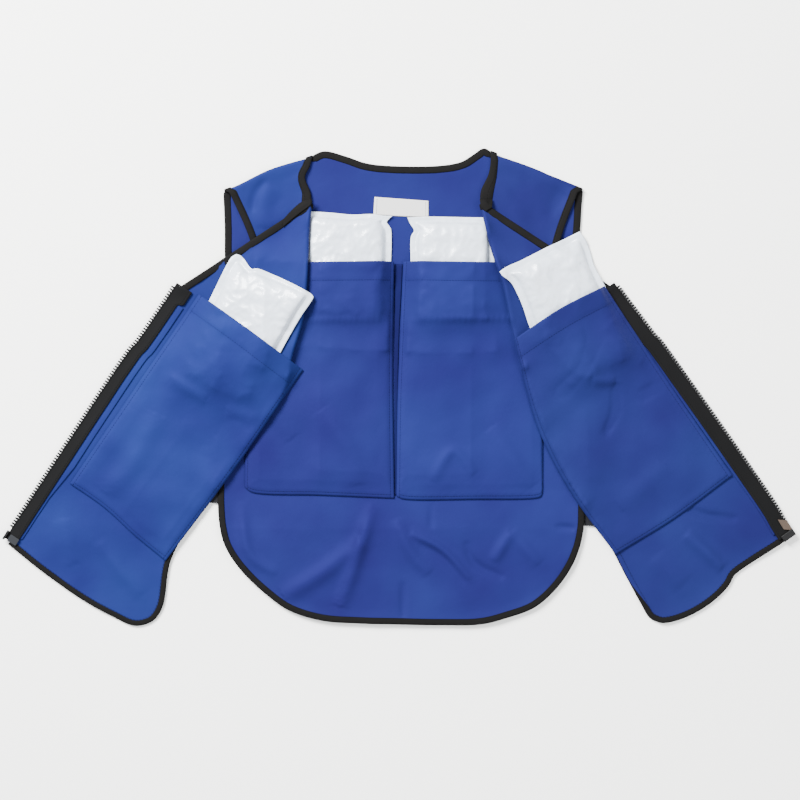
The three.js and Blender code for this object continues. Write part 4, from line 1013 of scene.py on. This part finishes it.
# A front laid flat: its span in front widths and zipper lengths, and the share of that which is cloth
FRONT_SPAN, FRONT_CUT = (1.7, 1.6), 0.58
# How far a binding is drawn back where it turns round the shoulder, and bulges there
SHOULDER_PUSH = 1.5
SHOULDER_BULGE = {"left": 1.0, "right": 2.3}


def upper_layer(side, collar, fold):
    """Layer of a front that hangs from the shoulder, and the armhole's binding. Gives its lower side."""
    wall, sign = state["wall"], SIGN[side]
    armhole = back_points(side, FRONT_ARMHOLE[side])
    shoulder = [armhole[0], on_back(sign, SHOULDERLINE[side][1]), collar[0]]
    plan = blend_grid(smooth_line(shoulder, UPPER_COLUMNS),
                      smooth_line(armhole, COLLAR_ROWS + FOLD_ROWS),
                      smooth_line([armhole[-1], fold[-1]], UPPER_COLUMNS),
                      join_lines(smooth_line(collar, COLLAR_ROWS), fold))
    shape = plan.shape[:2]
    near_collar = (np.arange(shape[0]) <= COLLAR_ROWS)[:, None]
    room = np.maximum(edge_room(shape, ("left", "top"), FRONT_REACH),
                      edge_room(shape, ("right",), FRONT_REACH) * near_collar)
    wave = waves(plan, "upper", sign)
    wave += creases(plan, UPPER_CREASES[side], lambda a, d: on_back(sign, (a, d)))
    height = drape(plan, "upper", lift=room) + np.maximum(wave, 0)
    face = np.dstack([plan, height])
    state["relief"].lay(face + wall * UP)
    middle = face + wall / 2 * UP
    back_edge, back_in, back_up = state["back_armhole"][side]
    front_part = lying(middle[1:, 0], middle[1:, 3], -1)
    seam, seam_out = shoulder_fold(side)
    turn = fold_turn(back_edge[0], front_part[0][0], -seam, seam_out, -1, push=SHOULDER_PUSH, bulge=1)
    chain = chain_join((back_edge[::-1], back_in[::-1], back_up), turn, front_part)
    binding(f"edge_armhole_{side}", *chain,
            [f"back_armhole_binding_{side}", f"front_armhole_binding_{side}"])
    return face


def outer_layer(side, collar, fold, fold_bottom):
    """Layer of a front that is folded outwards, lining side up. Gives its upper side."""
    sizes, wall, sign = state["sizes"], state["wall"], SIGN[side]
    plan_frame, hem_rows = front_frame(side), FRONT_HEM[side]
    zipper_down = np.linspace(0, hem_rows[-1][0], FOLD_ROWS + SIDE_ROWS + 1)
    zipper_edge = placed(plan_frame, -zipper_bow(side, zipper_down), zipper_down * sizes.zipper_length)
    side_line, hem_line = smooth_parts(
        front_outline(side, FRONT_SIDE[side] + hem_rows[1:]), (len(FRONT_SIDE[side]) - 1,),
        (SIDE_ROWS, OUTER_COLUMNS))
    plan = blend_grid(smooth_line([collar[-1], placed(plan_frame, 0, 0)], OUTER_COLUMNS),
                      join_lines(fold, side_line), hem_line, zipper_edge)
    shape = plan.shape[:2]
    least = np.zeros(shape)
    least[:FOLD_ROWS + 1, 0] = fold_bottom + wall + 2 * FOLD_NOSE
    past_fold = (np.arange(shape[0]) > FOLD_ROWS)[:, None]
    room = np.maximum(edge_room(shape, ("top", "bottom"), FRONT_REACH),
                      edge_room(shape, ("left",), FRONT_REACH) * past_fold)
    wave = waves(plan, "outer", sign)
    wave += creases(plan, FRONT_CREASES[side], lambda a, d: placed(
        plan_frame, a * sizes.front_width, d * sizes.zipper_length))
    height = drape(plan, "outer", lift=room, least=least) + np.maximum(wave, 0)
    face = np.dstack([plan, height + wall])
    state["relief"].lay(face)
    return face


def front_sheet(side, upper, outer, fold, out):
    """Upper layer, fold and outer layer as one sheet that shares its border points."""
    sizes, wall = state["sizes"], state["wall"]
    low, high = upper[COLLAR_ROWS:, -1, 2], outer[:FOLD_ROWS + 1, 0, 2]
    nose = np.stack([
        np.column_stack([fold + out * ((FOLD_NOSE + wall) * math.cos(angle)),
                         (low + high) / 2 + (high - low) / 2 * math.sin(angle)])
        for angle in FOLD_ANGLES], 1)
    layers, start = [], 0
    for grid in (upper, nose, outer):
        layers.append(start + np.arange(grid[..., 0].size).reshape(grid.shape[:2]))
        start += layers[-1].size
    seam = np.hstack([layers[0][COLLAR_ROWS:, -1:], layers[1], layers[2][:FOLD_ROWS + 1, :1]])
    points = np.vstack([grid.reshape(-1, 3) for grid in (upper, nose, outer)])
    upper_quads = turned(points, grid_quads(layers[0]), up=False)
    nose_quads, outer_quads = grid_quads(seam), turned(points, grid_quads(layers[2]))
    # The fold's last faces run through the edge that they share with the outer layer the other way
    shared = (seam[0, -1], seam[1, -1])
    last, first = (tuple(quads[k]) for quads, k in ((nose_quads, len(FOLD_ANGLES)), (outer_quads, 0)))
    if (shared in zip(last, last[1:] + last[:1])) == (shared in zip(first, first[1:] + first[:1])):
        nose_quads = nose_quads[:, ::-1]
    solid = wall_solid(points, np.vstack([upper_quads, nose_quads, outer_quads]), wall)
    piece = add_mesh(f"vest_front_{side}", *solid, state["cloth"]["front", side], "lining_cloth")
    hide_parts(f"front_panel_{side}")
    flat = (FRONT_SPAN[0] * sizes.front_width * MM, FRONT_SPAN[1] * sizes.zipper_length * MM)


def front_edges(side, upper, outer, fold, along, out):
    """Binding of the side and hem. The collar's and lapel's bound line is kept for the neckline."""
    wall = state["wall"]
    upper_mid, outer_mid = upper + wall / 2 * UP, outer - wall / 2 * UP
    seam, seam_out = shoulder_fold(side)
    rows = slice(1, COLLAR_ROWS + 1)
    collar = lying(upper_mid[rows, -1], upper_mid[rows, -4], -1)
    collar[1][:] *= between(COLLAR_WIDTHS[side], COLLAR_ROWS)
    fan = fold_fan(collar[0][-1], collar[1][-1], along[0], -1)
    lapel, reach = kept_inside(lying(outer_mid[0, 1:], outer_mid[3, 1:]), fold[0], along[0], out[0])
    neck_end = state["neck"][0][0 if side == "left" else -1]
    shoulder_turn = fold_turn(neck_end, collar[0][0], seam, seam_out, -1, push=SHOULDER_PUSH,
                              bulge=SHOULDER_BULGE[side])
    lapel_turn = fold_turn(fan[0][-1], lapel[0][0], along[0], out[0], 1, reach=0.55 * reach, bulge=1.0)
    state["collar"][side] = chain_join(shoulder_turn, collar, fan, lapel_turn, lapel)
    rim, rim_in = (join_lines(outer_mid[FOLD_ROWS:, k], outer_mid[-1 - k]) for k in (0, 3))
    edge, inward, normal = lying(rim, rim_in)
    binding(f"edge_hem_{side}", edge, inward * between(RIM_WIDTHS[side], len(rim)), normal,
            [f"hem_binding_{side}"])


def build_front_panel(side):
    sign = SIGN[side]
    collar = back_points(side, COLLAR[side])
    fold = smooth_line([collar[-1]] + front_outline(side, FOLDLINE[side]), FOLD_ROWS)
    along = unit(np.vstack([fold[1:], fold[-1:]]) - np.vstack([fold[:1], fold[:-1]]))
    out = np.stack([sign * along[:, 1], -sign * along[:, 0]], 1)
    upper = upper_layer(side, collar, fold)
    outer = outer_layer(side, collar, fold, upper[COLLAR_ROWS:, -1, 2])
    front_sheet(side, upper, outer, fold, out)
    front_edges(side, upper, outer, fold, along, out)


def build_neckline():
    """One binding round the neck, both collars and both lapels"""
    left, right = state["collar"]["left"], state["collar"]["right"]
    nodes = [f"{kind}_binding_{side}" for kind in ("collar", "lapel") for side in SIDES]
    chain = chain_join([part[::-1] for part in left], state["neck"], right)
    binding("edge_neckline", *chain, ["neck_binding"] + nodes)


CORNER_WALL = 0.8


def build_corner(side):
    """Folded corner of the binding where the collar turns into the lapel."""
    shape = LAPEL_CORNERS[side]
    plan = blend_grid(*(smooth_line(back_points(side, shape[name]), steps)
                        for name, steps in (("top", 14), ("left", 12), ("foot", 14), ("right", 12))))
    height = drape(plan, "corner", lift=0.2)
    piece, _ = sheet_grid(f"edge_corner_{side}", plan, height, CORNER_WALL, state["bias"], "bias_binding")


# Bevel of a tooth or an end in shares of its size
BLOCK_BEVEL = 0.06


def bevelled_block():
    """Corners and faces of a block one unit wide with bevelled edges."""
    bpy.ops.object.select_all(action="DESELECT")
    bpy.ops.mesh.primitive_cube_add(size=1.0)
    bpy.ops.object.mode_set(mode="EDIT")
    bpy.ops.mesh.bevel(offset=BLOCK_BEVEL, segments=1, affect="EDGES")
    bpy.ops.object.mode_set(mode="OBJECT")
    return taken(bpy.context.object)


# Hard ends of the zipper: place across and down, size across, down and high in millimetres, the node
# that each replaces, its finish and slot, and its height over the tape
ZIPPER_ENDS = {
    "left": (("pin", -13.2, 393, (3, 13, 3), "zipper_pin", "resin", "zipper_resin", -1.2),
             ("film", -1.6, 393.5, (13, 9.5, 0.8), "pin_film", "grey_film", "grey_film", 0.3)),
    "right": (("box", -3.4, 396, (18, 8.5, 4), "zipper_box", "resin", "zipper_resin", -1.5),),
}


# Length of a cell along the tape in millimetres
TAPE_CELL = 1.9
# Where the tape starts and what it lacks to the hem's end, in zipper lengths
TAPE_START, TAPE_SHORT = -0.004, 0.01
# Where the facing starts and ends, in shares of the tape
FACING_RUN = (0.06, 0.985)
# The facing narrows below the pocket: from which share on, and over which
NARROW_FROM, NARROW_OVER = 0.7, 0.13
# The tape stands over the cloth's edge, and is folded back at its top, where it is wider
TAPE_OVERHANG = 7.6
TAPE_TOP = {"wider": 7, "length": 22, "fade": 3}
TAPE_WALL, FACING_WALL = 0.9, 0.6
# Widths laid flat, and the facing's length in zipper lengths
TAPE_FLAT, FACING_FLAT, FACING_LENGTH = 15, 10, 0.92
# Each tooth is a root that grips the tape's edge and a narrower head: size, and place outwards
TOOTH_PARTS = (((3.2, 2.6, 2.8), 0.5), ((2.4, 2.2, 2.0), 2.6))
# Share of the zipper's length that has teeth, and how far a tooth's middle lies below the tape's face
TOOTHED, TOOTH_SINK = 0.975, 0.45


def build_facing(side, share, bow):
    """Facing of lining cloth beside the tape."""
    sizes, plan_frame = state["sizes"], front_frame(side)
    rows = slice(*(int(end * (len(share) - 1)) for end in FACING_RUN))
    start, wide = FACING[side]
    limit = wide + (FACING_END[side] - wide) * np.clip((share[rows] - NARROW_FROM) / NARROW_OVER, 0, 1)
    across = start + (limit[:, None] - start) * np.linspace(0, 1, 9)[None] - bow[rows]
    plan = placed(plan_frame, across, share[rows, None] * sizes.zipper_length + 0 * across)
    lift = LAID_LIFT + 0.35 * np.maximum(noise(plan, 26, 71 + SIGN[side]), 0)
    lift = lift + 0.5 * np.sin(np.linspace(0, math.pi, 9))[None]
    height = drape(plan, "facing", lift=lift)
    piece, _ = sheet_grid(f"zipper_facing_{side}", plan, height, FACING_WALL,
                          state["cloth"]["front", side])
    run = FACING_LENGTH * sizes.zipper_length


def build_tape(side, share, bow):
    """Tape along the zipper's edge. Gives its face side."""
    sizes, top = state["sizes"], TAPE_TOP
    inner = TAPE_INNER[side] + top["wider"] * np.clip(
        (top["length"] - share * sizes.zipper_length) / top["fade"], 0, 1)
    across = inner[:, None] + (-TAPE_OVERHANG - inner[:, None]) * np.linspace(0, 1, 12)[None] - bow
    plan = placed(front_frame(side), across, share[:, None] * sizes.zipper_length + 0 * across)
    height = drape(plan, "tape", lift=0.1)
    height = np.maximum(height, height[:, 5:6] - 1.0)
    piece, face = sheet_grid(f"zipper_band_{side}", plan, height, TAPE_WALL, state["tape"], "zipper_tape")
    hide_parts(f"zipper_tape_{side}")
    sizes.zipper_length * MM
    state["tape_seams"].append((face[:, 2] + 0.1 * UP, level(len(face))))
    return face


def build_teeth(side, share, face, axes, block):
    shape, faces = block
    sizes = state["sizes"]
    count = int(TOOTHED * sizes.zipper_length / sizes.tooth_pitch)
    spots = even_line(face[share <= TOOTHED, -1], count)[2:] - TOOTH_SINK * UP
    parts = [spot + (shape * size + (outwards, 0, 0)) @ axes
             for spot in spots for size, outwards in TOOTH_PARTS]
    piece = add_mesh(f"zipper_teeth_{side}", *gather(parts, faces), state["resin"], "zipper_resin",
                     smooth=False)
    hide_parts(f"zipper_chain_{side}")


def build_zipper(side):
    sizes, plan_frame = state["sizes"], front_frame(side)
    steps = int(sizes.zipper_length / TAPE_CELL)
    share = np.linspace(TAPE_START, FRONT_HEM[side][-1][0] - TAPE_SHORT, steps + 1)
    bow = zipper_bow(side, share)[:, None]
    build_facing(side, share, bow)
    face = build_tape(side, share, bow)
    outwards, along = np.append(-plan_frame[1], 0.0), np.append(plan_frame[2], 0.0)
    axes = np.array([outwards, along, np.cross(outwards, along)])
    shape, faces = bevelled_block()
    build_teeth(side, share, face, axes, (shape, faces))
    top = float(face[-6:, 2:, 2].max())
    for name, across, down, size, node, finish, slot, rise in ZIPPER_ENDS[side]:
        spot = np.append(placed(plan_frame, across, down), top + rise + size[2] / 2)
        piece = add_mesh(f"zipper_end_{name}", spot + (shape * size) @ axes, faces, state[finish], slot,
                         smooth=False)
        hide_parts(node)


FLOOR_SIZE = 8.0
SKY = (0.93, 0.96, 1.0, 1)
# Soft lights in metres: place, size and share of the main light's power
LIGHTS = {"key": ((-1.5, 1.7, 2.3), 1.3, 1), "fill": ((1.9, -0.8, 2.4), 2.4, 0.2)}
CAMERA_PLACE = (-0.00205, -0.01315)
CAMERA_LENS = 85


def build_stage():
    look = state["look"]
    bpy.ops.object.select_all(action="DESELECT")
    bpy.ops.mesh.primitive_plane_add(size=FLOOR_SIZE, location=(0, 0, 0))
    floor = bpy.context.object
    floor.name = "floor"
    floor.data.materials.append(finish_material("floor_paper", look.floor_colour, roughness=0.9))
    world = bpy.data.worlds.new("studio")
    bpy.context.scene.world = world
    world.use_nodes = True
    background = world.node_tree.nodes["Background"]
    background.inputs["Color"].default_value = SKY
    background.inputs["Strength"].default_value = look.ambient
    for name, (place, size, share) in LIGHTS.items():
        data = bpy.data.lights.new(name, "AREA")
        data.shape = "SQUARE"
        data.size = size
        data.energy = look.key_power * share
        light = bpy.data.objects.new(name, data)
        bpy.context.collection.objects.link(light)
        light.location = place
        x, y, z = place
        light.rotation_euler = (math.acos(z / math.hypot(x, y, z)), 0, math.atan2(-y, -x) - math.pi / 2)
    data = bpy.data.cameras.new("camera")
    data.lens = CAMERA_LENS
    data.dof.use_dof = False
    camera = bpy.data.objects.new("camera", data)
    bpy.context.collection.objects.link(camera)
    camera.location = (*CAMERA_PLACE, look.camera_height)
    bpy.context.scene.camera = camera


# Sizes and colours

def length(name, description, default):
    return bpy.props.FloatProperty(name=name, description=description, default=default * MM,
                                   unit="LENGTH", precision=4)


def colour(name, description, default):
    return bpy.props.FloatVectorProperty(name=name, description=description, default=linear(default),
                                         size=3, min=0, max=1, subtype="COLOR")


class VestSizes(bpy.types.PropertyGroup):
    """Sizes of the vest"""
    back_width: length("Back width", "Widest part of the back panel", 472)
    back_length: length("Back length", "Neck point to hem", 609)
    front_width: length("Front width", "Width of a front panel below the armhole", 181)
    lapel_length: length("Lapel length", "From the collar to the zipper's top", 195)
    zipper_length: length("Zipper length", "Length of the toothed edge", 390)
    tooth_pitch: length("Tooth pitch", "From one tooth to the next", 3.82)
    binding_width: length("Binding width", "Width of the bias binding", 8)
    cloth_wall: length("Cloth thickness", "Thickness of the cloth", 1.0)
    hem_band: length("Hem band", "Width of the pockets' hem", 26)
    back_pocket_width: length("Back pocket width", "Width of a back pocket", 188)
    back_pocket_length: length("Back pocket length", "Length of a back pocket", 307)
    back_pocket_drop: length("Back pocket drop", "Neck point to the pockets' mouth", 141)
    back_pocket_gap: length("Back pocket gap", "Gap between the back pockets", 11)
    back_pocket_shift: length("Back pocket shift", "How far the back pockets lie to one side", -4)
    front_pocket_width: length("Front pocket width", "Width of a front pocket", 164)
    front_pocket_length: length("Front pocket length", "Length of a front pocket", 305)
    front_pocket_inset: length("Front pocket inset", "Zipper to the pocket's side", 24)
    pack_width: length("Pack width", "Width of a cold pack", 115)
    pack_length: length("Pack length", "Length of a cold pack", 175)
    pack_thickness: length("Pack thickness", "Thickness of a full pack", 14)
    pack_rim: length("Pack rim", "Width of the sealed rim", 9)
    label_width: length("Label width", "Width of the blank label", 70)
    label_height: length("Label height", "Height of the blank label", 22)
    label_drop: length("Label drop", "Neck point to the label", 56)


class VestLook(bpy.types.PropertyGroup):
    """Colours and light"""
    lining: colour("Lining", "Colour of the cloth", (0.083, 0.086, 0.253))
    bias: colour("Binding", "Colour of the bindings", (0.05, 0.048, 0.047))
    tape: colour("Tape", "Colour of the zipper tape", (0.05, 0.05, 0.052))
    resin: colour("Teeth", "Colour of the zipper teeth", (0.04, 0.04, 0.045))
    film: colour("Pack film", "Colour of the packs", (0.695, 0.725, 0.765))
    label: colour("Label", "Colour of the label", (0.665, 0.66, 0.655))
    metal: colour("Slider", "Colour of the slider", (0.23, 0.19, 0.16))
    floor_colour: colour("Floor", "Colour of the floor", (0.9, 0.9, 0.89))
    ambient: bpy.props.FloatProperty(name="Ambient", description="Strength of the room's light",
                                     default=1.3, min=0)
    key_power: bpy.props.FloatProperty(name="Key light", description="Power of the main light",
                                       default=640, min=0, unit="POWER")
    camera_height: bpy.props.FloatProperty(name="Camera height", description="Height of the camera",
                                           default=2.455, unit="LENGTH")


class Millimetres:
    """Reads the sizes in millimetres"""

    def __init__(self, group):
        self.group = group

    def __getattr__(self, name):
        return getattr(self.group, name) / MM


# Painted sheen and shade: shares of red, green and blue that lighten or darken each part of the lining,
# lighter and more cyan on the left front where the satin catches the light, darker on the right front
CLOTH_SHEEN_SHADES = {("back", "left"): (1, 1, 1), ("back", "right"): (1, 1.05, 1.03),
               ("front", "left"): (0.95, 1.3, 1.12), ("front", "right"): (0.95, 1, 0.92)}
# Painted shade: the lining darkened for the strip between the back pockets, for the shade in the gap
# there
STRIP_PAINTED_SHADE = (0.5, 0.45, 0.5)
# Share of the lining's brightness that its thread has
THREAD_SHADE = 0.5
# Colours of the film round the foot of the zipper's pin and of the side straps
GREY_FILM = (0.11, 0.115, 0.125)
WEBBING = (0.07, 0.07, 0.08)

state = {}


def start_state():
    look = bpy.context.scene.vest_look
    sizes = Millimetres(bpy.context.scene.vest_sizes)
    low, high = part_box("back_panel")
    state.update(
        sizes=sizes, look=look, wall=sizes.cloth_wall,
        origin=np.array([(low[0] + high[0]) / 2, high[1], 0]) / MM,
        relief=Relief(*RELIEF_REACH, -sizes.back_length / 2),
        binding_seams=[], pocket_seams=[], tape_seams=[], back_armhole={}, collar={},
        lining=cloth_finish("lining", look.lining, (1, 1, 1)),
        cloth={key: cloth_finish("lining_{}_{}".format(*key), look.lining, tone)
               for key, tone in CLOTH_SHEEN_SHADES.items()},
        strip=cloth_finish("strip", look.lining, STRIP_PAINTED_SHADE),
        thread=finish_material("thread", [c * THREAD_SHADE for c in look.lining], roughness=0.8,
                               gloss=0.05),
        bias=finish_material("bias", look.bias, roughness=0.75, gloss=0.03,
                             bump=((700, 0.3, 0.0006),)),
        tape=finish_material("tape", look.tape, roughness=0.8, gloss=0.03,
                             bump=((1100, 0.4, 0.0005),)),
        resin=finish_material("resin", look.resin, roughness=0.5, gloss=0.12),
        film=finish_material("film", look.film, roughness=0.34, coat=0.2,
                             bump=((90, 0.3, 0.003), (38, 0.3, 0.006))),
        label=finish_material("label", look.label, roughness=0.8, bump=((900, 0.2, 0.0004),)),
        metal=finish_material("metal", look.metal, roughness=0.45, metallic=0.3, gloss=0.2),
        grey_film=finish_material("grey_film", linear(GREY_FILM), roughness=0.4, gloss=0.12),
        webbing=finish_material("webbing", linear(WEBBING), roughness=0.9, gloss=0.1,
                                bump=((500, 0.5, 0.001),)),
    )


class VEST_OT_back(bpy.types.Operator):
    """Builds the back panel with its bindings and the blank label"""
    bl_idname = "vest.back"
    bl_label = "Back panel"

    def execute(self, context):
        start_state()
        build_back_panel()
        build_label()
        return {"FINISHED"}


class VEST_OT_back_pockets(bpy.types.Operator):
    """Builds the back packs and the pockets over them"""
    bl_idname = "vest.back_pockets"
    bl_label = "Back pockets and packs"

    def execute(self, context):
        build_pocket_strip()
        for side in SIDES:
            build_pack("back", side)
        for side in SIDES:
            build_pocket("back", side)
        return {"FINISHED"}


class VEST_OT_fronts(bpy.types.Operator):
    """Builds both front panels, folded outwards, with their bindings"""
    bl_idname = "vest.fronts"
    bl_label = "Front panels"

    def execute(self, context):
        for side in SIDES:
            build_front_panel(side)
        build_neckline()
        for side in SIDES:
            build_corner(side)
        return {"FINISHED"}


class VEST_OT_front_pockets(bpy.types.Operator):
    """Builds the front packs and the pockets over them"""
    bl_idname = "vest.front_pockets"
    bl_label = "Front pockets and packs"

    def execute(self, context):
        for side in SIDES:
            build_pack("front", side)
            build_pocket("front", side)
        return {"FINISHED"}


class VEST_OT_zipper(bpy.types.Operator):
    """Builds the zipper's tapes and teeth and finishes its slider and ends"""
    bl_idname = "vest.zipper"
    bl_label = "Zipper"

    def execute(self, context):
        for side in SIDES:
            build_zipper(side)
        kept = {"zipper_slider": "metal", "slider_pull": "resin", "side_strap_left": "webbing",
                "side_strap_right": "webbing"}
        for node, finish in kept.items():
            bpy.data.objects[node].data.materials.clear()
            bpy.data.objects[node].data.materials.append(state[finish])
        return {"FINISHED"}


class VEST_OT_stitches(bpy.types.Operator):
    """Sews the stitch lines of the pockets, bindings and tapes"""
    bl_idname = "vest.stitches"
    bl_label = "Stitches"

    def execute(self, context):
        stitches("pocket", state["pocket_seams"], state["thread"])
        stitches("binding", state["binding_seams"], state["bias"], "bias_binding")
        stitches("tape", state["tape_seams"], state["tape"], "zipper_tape")
        return {"FINISHED"}


class VEST_OT_stage(bpy.types.Operator):
    """Sets the floor, the light and the camera"""
    bl_idname = "vest.stage"
    bl_label = "Stage"

    def execute(self, context):
        build_stage()
        return {"FINISHED"}


STEPS = (VEST_OT_back, VEST_OT_back_pockets, VEST_OT_fronts, VEST_OT_zipper, VEST_OT_front_pockets,
         VEST_OT_stitches, VEST_OT_stage)


class VEST_PT_panel(bpy.types.Panel):
    """Lists the steps that build the vest"""
    bl_label = "Vest"
    bl_idname = "VEST_PT_panel"
    bl_space_type = "VIEW_3D"
    bl_region_type = "UI"
    bl_category = "Vest"

    def draw(self, context):
        for step in STEPS:
            self.layout.operator(step.bl_idname)
        for group in (context.scene.vest_sizes, context.scene.vest_look):
            for name in group.bl_rna.properties.keys():
                if name not in ("rna_type", "name"):
                    self.layout.prop(group, name)


CLASSES = (VestSizes, VestLook) + STEPS + (VEST_PT_panel,)


def register():
    for item in CLASSES:
        bpy.utils.register_class(item)
    bpy.types.Scene.vest_sizes = bpy.props.PointerProperty(type=VestSizes)
    bpy.types.Scene.vest_look = bpy.props.PointerProperty(type=VestLook)


def unregister():
    del bpy.types.Scene.vest_look
    del bpy.types.Scene.vest_sizes
    for item in reversed(CLASSES):
        bpy.utils.unregister_class(item)


def main():
    register()
    for step in STEPS:
        group, name = step.bl_idname.split(".")
        getattr(getattr(bpy.ops, group), name)()


if __name__ == "__main__":
    main()
